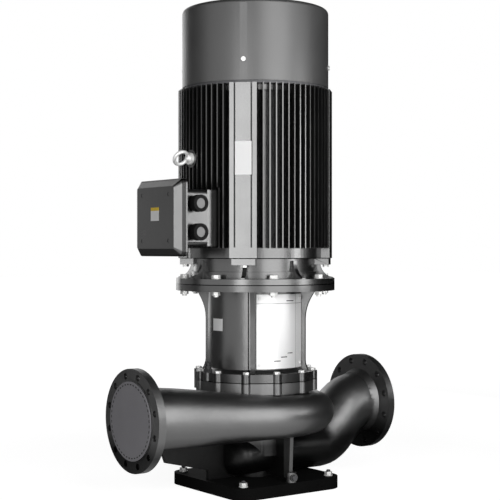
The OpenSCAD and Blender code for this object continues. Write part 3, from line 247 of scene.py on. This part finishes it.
# %% [markdown]
# Where two castings meet, the paint ends at a dark line: the stool on the casing, the motor's
# bracket on the stool, and the finned frame on the bracket. The real gap is a hair's breadth
# between two soft edges, which together look about three millimetres wide. A groove would have
# to be cut into both castings, so the line is a mask on the height instead. It stays near the
# motor's axis, because the same height also crosses the pipe flanges further out. Each mask is
# a function that waits for its finish, so that one paint can have several.

# %% Joint lines
head_joint = 0.373
flange_joint = 0.700
frame_joint = 0.788
line_half = 0.0015
line_reach = 0.3


def joint_lines(*heights):
    def mask(finish):
        up = finish.axis(2)
        lines = sum((abs(up - height) < line_half) for height in heights)
        return lines * (finish.reach() < line_reach)
    return mask


print("joints at", head_joint, flange_joint, frame_joint)

# %% [markdown]
# The stool has one line more, upright beside the guard of the front window. It is painted
# shade: a dark line where shade falls beside the guard. Low on the casing, between the base
# plate and the spiral, the paint is duller and darker. This is painted shade, because the foot
# lies in shade there. A ramp on the height draws that on all but the very front of the foot,
# so that it fades upwards without an edge.

# %% The stool's painted jamb shadow and the casing's painted foot shade
jamb_direction = -134.3
jamb_half = 0.011
jamb_low, jamb_high = 0.405, 0.675
foot_low, foot_high = 0.155, 0.21
foot_front = -0.172
foot_shade_level = 0.85


# Joint lines, and a painted shadow line upright beside the window guard.
def stool_joints_and_shadow(finish):
    up = finish.axis(2)
    jamb = abs(finish.turn() - radians(jamb_direction)) < jamb_half
    jamb = jamb * (up > jamb_low) * (up < jamb_high)
    return joint_lines(head_joint, flange_joint)(finish) + jamb


# Painted shade on the casing's foot: low down its paint loses its gloss and turns darker.
def painted_foot_shade(finish):
    shade = finish.ramp(finish.axis(2), foot_low, foot_high, foot_shade_level, 0.0)
    return shade * (finish.axis(1) > foot_front)


print("jamb and foot ready")

# %% [markdown]
# The paint isn't equally glossy all over. The base plate is nearly matt, the casing is satin,
# the motor's castings are the smoothest, and the fan cowl is a greyer powder coat on sheet
# steel. Separate recipes would drift apart, so each one is a row of the same recipe.

# %% The paints
materials = {
    "black_paint": painted("black_paint", rough=0.29, ripple=0.00005, roll=0.0005),
    "cowl_paint": painted(
        "cowl_paint", rough=0.40, ripple=0.00012, roll=0.0002, dark=0.045, light=0.06, index=1.5),
}
base_paint = painted(
    "base_paint", rough=0.7, ripple=0.0001, roll=0.0006, light=0.007, gloss=0.1, index=1.2)
# The casing carries a joint line and painted shade on its foot.
casing_paint = painted(
    "casing_paint", rough=0.40, ripple=0.00005, roll=0.0007, index=1.7,
    joint_and_shadow_lines=joint_lines(head_joint), shade_mask=painted_foot_shade)
frame_paint = painted(
    "frame_paint", rough=0.25, ripple=0.00002, roll=0.00005, index=1.6,
    joint_and_shadow_lines=joint_lines(flange_joint, frame_joint))
# The stool's lines include a painted shadow line beside its window guard.
stool_paint = painted(
    "stool_paint", rough=0.29, ripple=0.00005, roll=0.0005, joint_and_shadow_lines=stool_joints_and_shadow)
print("painted", sorted(materials))

# %% [markdown]
# Bright metal shows its making: turned and rolled parts carry fine lines along one direction,
# and plated bolts a soft mottle. Squeezing noise along one axis gives the lines, and the same
# noise moves the roughness, so that the gloss breaks up without a printed look. Plating is
# duller than bare metal, so zinc is only partly metallic and keeps its pale grey in any light.

# %% Bare and plated metals
line_size, line_depth = 0.0012, 0.00002
mottle_depth = 0.00012
mottle_tone = 0.82
metal_swing = 0.12
level_lines = (1, 1, 40)


def metal(name, colour, rough, lines=None, mottle=0.012, metallic=1.0):
    finish = Finish(name, Metallic=metallic)
    cloud = finish.noise(mottle, 3.0)
    dark = tuple(c * mottle_tone for c in colour) + (1,)
    height = finish.noise(line_size, 1.0, lines) if lines else cloud
    finish.set(
        Base_Color=finish.blend(cloud, dark, colour + (1,)),
        Roughness=rough - metal_swing / 2 + height * metal_swing,
        Normal=finish.bump(height, line_depth if lines else mottle_depth),
    )
    return finish.material


materials["zinc"] = metal("zinc", (0.84, 0.84, 0.83), 0.38, metallic=0.35)
bright_zinc = metal("bright_zinc", (0.97, 0.97, 0.96), 0.35, metallic=0.3)
dark_iron = metal("dark_iron", (0.02, 0.02, 0.021), 0.5, metallic=0.3)
materials["machined_steel"] = metal("machined_steel", (0.52, 0.52, 0.53), 0.32, level_lines)
materials["stainless"] = metal(
    "stainless", (0.80, 0.80, 0.81), 0.30, level_lines, mottle=0.2, metallic=0.9)
materials["bronze"] = metal("bronze", (0.50, 0.33, 0.14), 0.40, (1, 1, 30))
materials["copper"] = metal("copper", (0.52, 0.20, 0.09), 0.42, (1, 1, 12), metallic=0.8)
materials["raw_iron"] = metal("raw_iron", (0.10, 0.10, 0.105), 0.55, metallic=0.5)
print("metals ready")

# %% [markdown]
# The other parts are moulded or pressed: the fan, gaskets, seal faces, the terminal board and
# the blanks. They share one recipe, a fine grain with a slight change of tone, and differ in
# colour, gloss and grain. The cable glands are the dullest, with nearly no reflection, and the
# printed labels are the most even.

# %% Moulded parts and labels
grain_size, grain_depth = 0.0012, 0.00004
tone_size = 0.05


def moulded(name, colour, rough, change=0.86, gloss=0.5):
    finish = Finish(name, Specular_IOR_Level=gloss)
    cloud = finish.noise(tone_size, 3.0)
    dark = tuple(c * change for c in colour) + (1,)
    finish.set(
        Base_Color=finish.blend(cloud, dark, colour + (1,)),
        Roughness=rough - paint_swing / 2 + cloud * paint_swing,
        Normal=finish.bump(finish.noise(grain_size, 1.0), grain_depth),
    )
    return finish.material


materials["rubber"] = moulded("rubber", (0.012, 0.012, 0.012), 0.75)
materials["fan_plastic"] = moulded("fan_plastic", (0.012, 0.012, 0.012), 0.45)
materials["seal_carbon"] = moulded("seal_carbon", (0.03, 0.03, 0.034), 0.4)
materials["seal_ceramic"] = moulded("seal_ceramic", (0.62, 0.60, 0.56), 0.25)
materials["board"] = moulded("board", (0.15, 0.04, 0.03), 0.4)
materials["blank_grey"] = moulded("blank_grey", (0.22, 0.22, 0.22), 0.5)
gland_black = moulded("gland_black", (0.005, 0.005, 0.005), 0.7, gloss=0.15)
label_white = moulded("label_white", (0.82, 0.82, 0.82), 0.45, change=0.97)
label_yellow = moulded("label_yellow", (0.75, 0.52, 0.03), 0.45, change=0.95)
print("moulded parts ready")

# %% [markdown]
# The covers over the ports are stuck on by their rim, where the sheet is pressed down in short
# dashes. They could be cut into the disc one by one, but they are only as deep as the sheet is
# thick, so a mask draws them: the distance from the pipe's middle picks the ring, and the sine
# of the angle round it picks the dashes.

# %% Port covers
pipe_height = 0.261
ring_radius = 0.1195
ring_half = 0.0022
dashes, dash_cut = 44, -0.1
press_depth = 0.0004


def pressed_cover():
    finish = Finish("grey_cover", Roughness=0.55)
    across = finish.axis(1)
    up = finish.axis(2) - pipe_height
    distance = (across * across + up * up) ** 0.5
    wave = finish.maths("SINE", finish.maths("ARCTAN2", up, across) * dashes)
    ring = (abs(distance - ring_radius) < ring_half) * (wave > dash_cut)
    cloud = finish.noise(tone_size, 3.0)
    tone = finish.blend(cloud, (0.20, 0.195, 0.21, 1), (0.24, 0.235, 0.25, 1))
    finish.set(
        Base_Color=finish.blend(ring, tone, grey(0.012)),
        Normal=finish.bump(finish.noise(grain_size, 1.0) * 0.1 - ring, press_depth),
    )
    return finish.material


materials["grey_cover"] = pressed_cover()
print("port covers ready, dashes", dashes)

# %% [markdown]
# The window guards are pale sheet steel with level brushing. Their slots are real, but the
# folds in the sheet are fine lines that only catch a little shade: one level, one upright near
# an edge of each sheet, and one where the front sheet laps. Masks on the height and on the
# direction from the axis press them in and give them a darker tone, which is painted shade.

# %% Window guards
fold_height, fold_half = 0.636, 0.0007
side_fold, side_fold_half = 125.2, 0.007
lap_edge, lap_edge_half = -70.3, 0.004
sheet_tone, fold_shade_tone = 0.84, 0.2
fold_depth = 0.0005


def guard_sheet():
    finish = Finish("guard_sheet", Metallic=0.35)
    brushed = finish.noise(0.002, 1.0, (1, 1, 30))
    turn = finish.turn()
    # Fold lines, pressed in and drawn darker as painted shade.
    folds = (abs(finish.axis(2) - fold_height) < fold_half)
    folds = folds + (abs(abs(turn) - radians(side_fold)) < side_fold_half)
    folds = folds + (abs(turn - radians(lap_edge)) < lap_edge_half)
    finish.set(
        Base_Color=finish.blend(folds, grey(sheet_tone), grey(fold_shade_tone)),
        Roughness=0.36 + brushed * 0.1,
        Normal=finish.bump(brushed * 0.05 - folds, fold_depth),
    )
    return finish.material


guard_material = guard_sheet()
print("slots with a finish", len(materials))

# %% [markdown]
# Each solid takes the finish that its row in the record names, inside the pump as well as
# outside. The loop saves naming 58 solids by hand, and a slot without a finish would stop it.

# %% Give the solids their finish
slot_of = {row["node"]: row["material_slot"] for row in frame["record"]["subparts"]}
for name, solid in frame["nodes"].items():
    solid.data.materials.clear()
    solid.data.materials.append(materials[slot_of[name]])
print("finished solids", len(slot_of))

# %% [markdown]
# Every new piece ends in the same way: its mesh becomes an object at the origin, and it rides on
# a body so that it moves with it. Its finish is the one it is given, or else the finish of the
# slot it is called with.

# %% From a mesh to a piece
def new_piece(name, shape, slot, body="pump", material=None):
    """Turns a bmesh into an object that rides on a body."""
    mesh = bpy.data.meshes.new(name)
    shape.to_mesh(mesh)
    shape.free()
    piece = bpy.data.objects.new(name, mesh)
    bpy.context.scene.collection.objects.link(piece)
    mesh.materials.append(material or materials[slot])
    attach(piece, body)
    return piece


print("pieces ready")

# %% [markdown]
# A casting comes out of its sand mould with soft edges, and a solid from the model has sharp
# ones in loose triangles. A copy is merged, its flat regions joined into single faces, its
# curved regions shaded smooth, and its sharp edges bevelled. The copy then stands for the solid.
# A bevel bends the shading of the flat faces beside it, which shows as a gradient on glossy
# paint, so a Weighted Normal modifier turns the shading of each large face level again.

# %% Dress a casting
merge_reach = 0.00002
flat_angle = radians(0.6)
smooth_angle = radians(32)
edge_angle = radians(38)


def dressed(node, width, segments=2, body="pump", material=None):
    shape = bmesh.new()
    shape.from_mesh(frame["nodes"][node].data)
    bmesh.ops.remove_doubles(shape, verts=shape.verts, dist=merge_reach)
    bmesh.ops.dissolve_limit(
        shape, angle_limit=flat_angle, use_dissolve_boundaries=False,
        verts=shape.verts, edges=shape.edges,
    )
    piece = new_piece("dressed_" + node, shape, slot_of[node], body, material)
    for face in piece.data.polygons:
        face.use_smooth = True
    piece.data.set_sharp_from_angle(angle=smooth_angle)
    if width:
        bevel = piece.modifiers.new("soft edges", "BEVEL")
        bevel.width = width
        bevel.segments = segments
        bevel.limit_method = "ANGLE"
        bevel.angle_limit = edge_angle
        bevel.harden_normals = True
        bevel.miter_outer = "MITER_ARC"
        level = piece.modifiers.new("level faces", "WEIGHTED_NORMAL")
        level.keep_sharp = True
    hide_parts(node)
    print("dressed", node, len(piece.data.vertices))


print("dressing ready")

# %% [markdown]
# The large castings have edges of two to three millimetres. The fins are thin, so theirs are
# less than one. The fan cowl is drawn sheet and keeps the round edge that its solid has. Names
# for the widths keep like castings alike.

# %% Castings and motor
cast_edge, plate_edge, thin_edge, no_bevel = 0.003, 0.002, 0.0007, 0.0

dressed("volute_casing", cast_edge, material=casing_paint)
dressed("base_plate", plate_edge, material=base_paint)
dressed("motor_stool", cast_edge, material=stool_paint)
dressed("motor_bracket", plate_edge, material=frame_paint)
dressed("motor_frame", thin_edge, 1, material=frame_paint)
dressed("fan_cowl", no_bevel)

# %% [markdown]
# The terminal box is a small casting with a bevelled lid. Behind the bevel the lid's side lies
# in shade and shows as a dark band. A second material would need a cut in the mesh, so the band
# is painted shade: a matt, dark strip in the lid's own paint, between two distances from its
# front.

# %% Terminal box
lid_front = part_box("terminal_lid")[0].x
band_start, band_end = lid_front + 0.0195, lid_front + 0.031
band_shade_level = 0.8
small_edge = 0.001


# Painted shade on the lid's side behind its bevel.
def lid_side_shade(finish):
    along = finish.axis(0)
    return (along > band_start) * (along < band_end) * band_shade_level


lid_paint = painted("lid_paint", rough=0.29, ripple=0.00005, roll=0.0003, shade_mask=lid_side_shade)
dressed("terminal_box", plate_edge)
dressed("terminal_lid", plate_edge, material=lid_paint)
dressed("cable_glands", small_edge, 1, material=gland_black)
dressed("lifting_eye", no_bevel, material=bright_zinc)

# %% [markdown]
# The small parts get edges that are just wide enough to catch a highlight, with one segment,
# because a bolt has many edges and each segment adds faces to all of them.

# %% Covers, screws and guards
dressed("discharge_port_cap", small_edge, 1, body="discharge_cap")
dressed("suction_port_cap", small_edge, 1, body="suction_cap")
dressed("vent_screw", thin_edge, 1, body="bleed_screw", material=dark_iron)
dressed("vent_body", thin_edge, 1, material=dark_iron)
dressed("drain_plug", thin_edge, 1, material=materials["raw_iron"])
dressed("front_guard", no_bevel, material=guard_material)
dressed("rear_guard", no_bevel, material=guard_material)
for bolts in ("casing_bolts", "flange_bolts", "flange_nuts", "flange_washers", "cowl_screws",
              "guard_screws", "lid_screws"):
    dressed(bolts, thin_edge, 1)

# %% [markdown]
# Plates and stickers are thin slabs with slightly rounded corners and a worn edge. One helper
# makes a slab lying in a frame of its own, with x to the right, y up and z towards the viewer,
# and a second one gives the frame for a place on an upright wall: its direction from the
# motor's axis, its distance and its height.

# %% A slab on a wall
def wall_frame(direction, distance, height, shift):
    """The place of a slab on an upright wall, as a matrix."""
    turn = radians(direction)
    outward = Vector((cos(turn), sin(turn), 0))
    across = Vector((-sin(turn), cos(turn), 0))
    spot = outward * distance + across * shift + Vector((0, 0, height))
    axes = Matrix((across, (0, 0, 1), outward)).transposed()
    return Matrix.Translation(spot) @ axes.to_4x4()


def softened(shape, edges, offset, segments):
    bmesh.ops.bevel(
        shape, geom=edges, offset=offset, segments=segments, affect="EDGES",
        profile=0.5, material=-1,
    )


def slab(name, size, corner, place, material):
    width, height, thick = size
    shape = bmesh.new()
    bmesh.ops.create_cube(shape, size=1.0)
    bmesh.ops.scale(shape, vec=size, verts=shape.verts)
    bmesh.ops.translate(shape, vec=(0, 0, thick / 2), verts=shape.verts)
    upright = [e for e in shape.edges if abs(e.verts[0].co.z - e.verts[1].co.z) > thick / 2]
    softened(shape, upright, corner, 4)
    rim = [e for e in shape.edges if min(v.co.z for v in e.verts) > thick * 0.9]
    softened(shape, rim, thick * 0.3, 2)
    bmesh.ops.transform(shape, matrix=place, verts=shape.verts)
    new_piece(name, shape, "blank_grey", material=material)
    print(name, width, "by", height)


print("slabs ready")

# %% [markdown]
# The rating plate lies on the front pad between the fins, and the lid has a sticker with a
# yellow band above it. All three are bare. The pad is a chord of the motor's outer circle, so
# its distance from the axis follows from the circle and half the pad's width.

# %% Plate and stickers
frame_radius = 0.267
pad_half_width = 0.0455
pad_face = sqrt(frame_radius**2 - pad_half_width**2)
lid_face = -lid_front
slab("name_plate", (0.055, 0.110, 0.0012), 0.002,
     wall_frame(direction=-135, distance=pad_face, height=1.117, shift=0.001), label_white)
slab("lid_sticker", (0.050, 0.033, 0.0005), 0.001,
     wall_frame(direction=180, distance=lid_face, height=0.928, shift=-0.001), label_white)
slab("lid_sticker_band", (0.050, 0.011, 0.0005), 0.001,
     wall_frame(direction=180, distance=lid_face, height=0.950, shift=-0.001), label_yellow)

# %% [markdown]
# The stool's label follows the round wall. A flat grid with many columns is laid on the wall
# and each column is moved along the circle, which a bend in a single slab can't do as evenly.
# A Solidify modifier gives it its thickness afterwards.

# %% Curved label on the stool
stool_radius = 0.164
label_direction = 182.4
label_low, label_high = 0.542, 0.583
label_width, label_thick = 0.052, 0.0006

label_shape = bmesh.new()
bmesh.ops.create_grid(label_shape, x_segments=12, y_segments=1, size=0.5)
for corner in label_shape.verts:
    turn = radians(label_direction) + corner.co.x * label_width / stool_radius
    height = label_low + (corner.co.y + 0.5) * (label_high - label_low)
    corner.co = Vector((stool_radius * cos(turn), stool_radius * sin(turn), height))
bmesh.ops.recalc_face_normals(label_shape, faces=label_shape.faces)
stool_label = new_piece("stool_label", label_shape, "blank_grey", material=label_white)
label_wall = stool_label.modifiers.new("thickness", "SOLIDIFY")
label_wall.thickness = label_thick
label_wall.offset = 1
print("stool_label", label_width, "by", round(label_high - label_low, 4))

# %% [markdown]
# Four foundation studs hold the base plate. Each has a washer, a nut and a bare threaded end.
# The nut is a six-sided cone with its edges bevelled, and the thread a spun saw-tooth line,
# which reads as a thread at this size. A helix would be truer, but its end is seldom seen and
# it doesn't close on itself.

# %% Turned parts
turn_steps = 24


def turned(shape, profile):
    """Spins a list of (radius, height) points once around the upright axis."""
    points = [shape.verts.new((r, 0, z)) for r, z in profile]
    edges = [shape.edges.new(pair) for pair in zip(points, points[1:])]
    bmesh.ops.spin(
        shape, geom=points + edges, cent=(0, 0, 0), axis=(0, 0, 1), angle=2 * pi,
        steps=turn_steps, use_merge=True, use_duplicate=False,
    )
    bmesh.ops.remove_doubles(shape, verts=shape.verts, dist=0.000001)


print("turning in", turn_steps, "steps")

# %% [markdown]
# A nut is known by its width across the flats, but a cone is made by the radius of its corners,
# which is that width divided by the square root of three. The level edges are picked by
# comparing the heights of their ends, and only these get the chamfer.

# %% Hexagon nuts
nut_chamfer = 0.0012


def hex_nut(shape, across, low, high):
    radius = across / sqrt(3)
    nut = bmesh.ops.create_cone(
        shape, cap_ends=True, segments=6, radius1=radius, radius2=radius, depth=high - low)
    bmesh.ops.translate(shape, vec=(0, 0, (low + high) / 2), verts=nut["verts"])
    edges = {e for v in nut["verts"] for e in v.link_edges}
    level = [e for e in edges if abs(e.verts[0].co.z - e.verts[1].co.z) < 0.0001]
    softened(shape, level, nut_chamfer, 2)


print("nut chamfer", nut_chamfer)

# %% [markdown]
# The four studs are alike, so one is made at the middle, copied to the corners and then
# deleted. An Array modifier could repeat it too, but a square of four is simpler as two loops.

# %% Four corners
def at_corners(shape, reach):
    """Copies everything in the mesh to the four corners of a square."""
    first = shape.verts[:] + shape.edges[:] + shape.faces[:]
    for x in (-reach, reach):
        for y in (-reach, reach):
            copy = bmesh.ops.duplicate(shape, geom=first)["geom"]
            moved = [part for part in copy if isinstance(part, bmesh.types.BMVert)]
            bmesh.ops.translate(shape, vec=(x, y, 0), verts=moved)
    bmesh.ops.delete(shape, geom=[v for v in first if isinstance(v, bmesh.types.BMVert)])
    bmesh.ops.recalc_face_normals(shape, faces=shape.faces)


print("corners ready")

# %% [markdown]
# The washers and nuts are bright zinc in one piece, and the studs bare iron in another, because
# a piece has one finish. Heights are counted from the top of the base plate.

# %% Foundation studs
plate_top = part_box("base_plate")[1].z
stud_reach = 0.18
washer_radius, washer_top = 0.0150, plate_top + 0.0025
nut_width, nut_low, nut_high = 0.023, plate_top + 0.0026, plate_top + 0.014
shank_radius, root_radius, crest_radius, tip_radius = 0.0070, 0.0068, 0.0075, 0.0060
stud_low, shank_high, stud_high = 0.001, plate_top + 0.012, plate_top + 0.020
thread_low, thread_step, thread_points = plate_top + 0.013, 0.0007, 9

nuts = bmesh.new()
turned(nuts, [(0, plate_top), (washer_radius, plate_top), (washer_radius, washer_top),
              (0, washer_top)])
hex_nut(nuts, nut_width, nut_low, nut_high)
at_corners(nuts, stud_reach)
new_piece("foundation_nuts", nuts, "zinc")

studs = bmesh.new()
profile = [(0, stud_low), (shank_radius, stud_low), (shank_radius, shank_high)]
for point in range(thread_points):
    radius = crest_radius if point % 2 else root_radius
    profile.append((radius, thread_low + point * thread_step))
profile += [(tip_radius, stud_high), (0, stud_high)]
turned(studs, profile)
at_corners(studs, stud_reach)
new_piece("foundation_studs", studs, "raw_iron")
print("studs ready, plate top at", plate_top)

# %% [markdown]
# The floor is a plain pale sheet under the pump. It only sets the scene and isn't part of the
# object, so it rides on no body. It lies half a millimetre under the base plate, because two
# faces at one height would flicker.

# %% Floor sheet
floor_gap = 0.0005

floor_shape = bmesh.new()
bmesh.ops.create_grid(floor_shape, x_segments=1, y_segments=1, size=30)
floor_mesh = bpy.data.meshes.new("floor")
floor_shape.to_mesh(floor_mesh)
floor_shape.free()
floor = bpy.data.objects.new("floor", floor_mesh)
floor.location = (0, 0, cad_low.z - floor_gap)
bpy.context.scene.collection.objects.link(floor)
print("floor at", floor.location.z)

# %% [markdown]
# The floor keeps the pump's shadow. Its white comes from the sheet itself, and not from more
# light on the pump: its material glows for the camera's rays. Near the pump the glow stays a
# little under white, which leaves room for the shadow, and far away it grows until the floor
# meets the white room without a line.
#
# Glossy paint also mirrors the floor. A floor that is white all round would fill the lower
# castings with grey, so mirrored rays meet a dark floor, apart from a white panel in front of
# the pump, which draws the bright band along the underside of the pipe. The panel's place is
# fixed in the room, and doesn't follow the camera.

# %% White floor
camera_azimuth = -36.0
panel_start = 0.15
fade_start, fade_end, panel_near, panel_far = 0.2, 0.7, 0.6, 1.15
glow_start, glow_end, glow_near, glow_far = 1.2, 4.0, 0.92, 1.0

sheet = Finish("floor", Roughness=0.9, Specular_IOR_Level=0.0, Emission_Strength=1.0)
sheet.set(Base_Color=sheet.blend(sheet.noise(0.6, 2.0), grey(0.30), grey(0.32)))
seen = sheet.node("ShaderNodeLightPath", output="Is Camera Ray")
mirrored = sheet.node("ShaderNodeLightPath", output="Is Glossy Ray")
through = sheet.node("ShaderNodeLightPath", output="Is Transmission Ray")
front_x, front_y = sin(radians(camera_azimuth)), -cos(radians(camera_azimuth))
forward = sheet.axis(0) * front_x + sheet.axis(1) * front_y
fade = sheet.ramp(forward, fade_start, fade_end, panel_near, panel_far)
panel = mirrored * (forward > panel_start) * fade
glow = sheet.ramp(sheet.reach(), glow_start, glow_end, glow_near, glow_far)
white = sheet.blend((seen + through) * glow, grey(0.0), grey(1.0))
sheet.set(Emission_Color=sheet.node(
    "ShaderNodeVectorMath", {"operation": "ADD"}, {0: white, 1: panel}))
floor_mesh.materials.append(sheet.material)
print("floor glow", glow_near, "to", glow_far)

# %% [markdown]
# The room is white for the camera, for mirrored rays and for rays through glass, so that metal
# shows the same background as the picture. For the soft light that fills the shadows it is
# dim, because the lamps do the lighting. The three kinds of ray are joined with a maximum, so
# that a ray that is two kinds at once isn't counted twice.

# %% White room
room_fill, room_white = 0.12, 1.0

world = bpy.data.worlds.new("studio")
bpy.context.scene.world = world
world.use_nodes = True
nodes, links = world.node_tree.nodes, world.node_tree.links
rays = nodes.new("ShaderNodeLightPath")
total = rays.outputs["Is Camera Ray"]
for kind in ("Is Glossy Ray", "Is Transmission Ray"):
    either = nodes.new("ShaderNodeMath")
    either.operation = "MAXIMUM"
    links.new(total, either.inputs[0])
    links.new(rays.outputs[kind], either.inputs[1])
    total = either.outputs[0]
strength = nodes.new("ShaderNodeMapRange")
strength.inputs["To Min"].default_value = room_fill
strength.inputs["To Max"].default_value = room_white
links.new(total, strength.inputs["Value"])
background = nodes["Background"]
background.inputs["Color"].default_value = grey(1)
links.new(strength.outputs["Result"], background.inputs["Strength"])
print("room fill", room_fill)

# %% [markdown]
# The pump is lit by large soft boxes, because small lamps would draw hard dots on the enamel.
# One stands in front and a little to the left, a wider one in front on the right fills the
# fins, and a strip further right draws the bright lines along them. A box behind gives the
# back its edges, and a weak one on the left lifts the lid's shaded side. Each is given by its
# place round the pump, its size, and a level that doesn't change when the size does.

# %% Soft boxes
def around(azimuth, distance, height):
    """A place round the pump. The azimuth is from the camera, with right as positive."""
    turn = radians(camera_azimuth + azimuth)
    return Vector((distance * sin(turn), -distance * cos(turn), height))


pump_middle = Vector((0, 0, 0.75))


def softbox(name, place, size, level):
    """A rectangle of light that faces the middle of the pump."""
    lamp = bpy.data.lights.new(name, "AREA")
    lamp.shape = "RECTANGLE"
    lamp.size, lamp.size_y = size
    lamp.energy = level * pi * size[0] * size[1]
    holder = bpy.data.objects.new(name, lamp)
    bpy.context.scene.collection.objects.link(holder)
    holder.location = place
    aim = pump_middle - place
    holder.rotation_euler = aim.to_track_quat("-Z", "Y").to_euler()
    print(name, "level", level)


softbox("front_left_box", around(-19, 4.2, 1.25), (1.1, 2.5), 5.6)
softbox("front_right_box", around(30, 2.6, 1.4), (1.9, 2.7), 3.3)
softbox("right_strip", around(70, 3.4, 1.1), (0.9, 1.1), 7.5)
softbox("back_box", around(-150, 3.8, 1.4), (1.8, 2.4), 1.3)
softbox("left_fill", around(-113, 2.8, 0.95), (1.6, 0.8), 0.5)

# %% [markdown]
# Photographers put dark cards beside glossy black things, because a white room turns black
# paint grey. A tall card on each side, a low one by the suction flange and one overhead do
# that here. The left one is grey and not black, which keeps some light in the left sides of
# the castings. The camera doesn't see them, so they leave the background white.

# %% Dark cards
def card(name, width, height, place, shade):
    """A felt card for reflections, which the camera doesn't see."""
    shape = bmesh.new()
    bmesh.ops.create_grid(shape, x_segments=1, y_segments=1, size=0.5)
    bmesh.ops.scale(shape, vec=(width, height, 1), verts=shape.verts)
    bmesh.ops.transform(shape, matrix=place, verts=shape.verts)
    mesh = bpy.data.meshes.new(name)
    shape.to_mesh(mesh)
    shape.free()
    board = bpy.data.objects.new(name, mesh)
    felt = Finish(name, Roughness=0.9, Specular_IOR_Level=0.0)
    felt.set(Base_Color=felt.blend(felt.noise(0.4), grey(shade), grey(shade * 1.2)))
    mesh.materials.append(felt.material)
    bpy.context.scene.collection.objects.link(board)
    board.visible_camera = False
    print(name, width, "by", height)


def standing(azimuth, distance, height):
    """The place of an upright card that stands on the floor and faces the pump."""
    spot = around(azimuth, distance, height / 2)
    facing = Vector((0, 0, height / 2)) - spot
    return Matrix.Translation(spot) @ facing.to_track_quat("Z", "Y").to_matrix().to_4x4()


card("left_flag", 3.2, 3.2, standing(-110, 3.0, 3.2), 0.2)
card("right_flag", 4.4, 3.2, standing(128, 2.6, 3.2), 0.01)
card("low_right_flag", 1.6, 0.6, standing(75, 1.5, 0.6), 0.01)
card("ceiling_flag", 6.0, 6.0, Matrix.Translation((0, 0, 3.3)), 0.02)

# %% [markdown]
# The camera stands level with the middle of the pump, with a long lens, so that uprights stay
# upright and the ports lie a little below the eye. Standard is the view transform that shows a
# colour as it is written.

# %% Camera
lens = bpy.data.cameras.new("camera")
lens.sensor_width = 36
lens.lens = 89.28
lens.clip_end = 100
camera = bpy.data.objects.new("camera", lens)
camera.location = (-2.548, -3.476, 0.816)
camera.rotation_euler = (radians(90), 0, radians(camera_azimuth))
bpy.context.scene.collection.objects.link(camera)
bpy.context.scene.camera = camera
bpy.context.scene.view_settings.view_transform = "Standard"
print("camera at", tuple(camera.location))
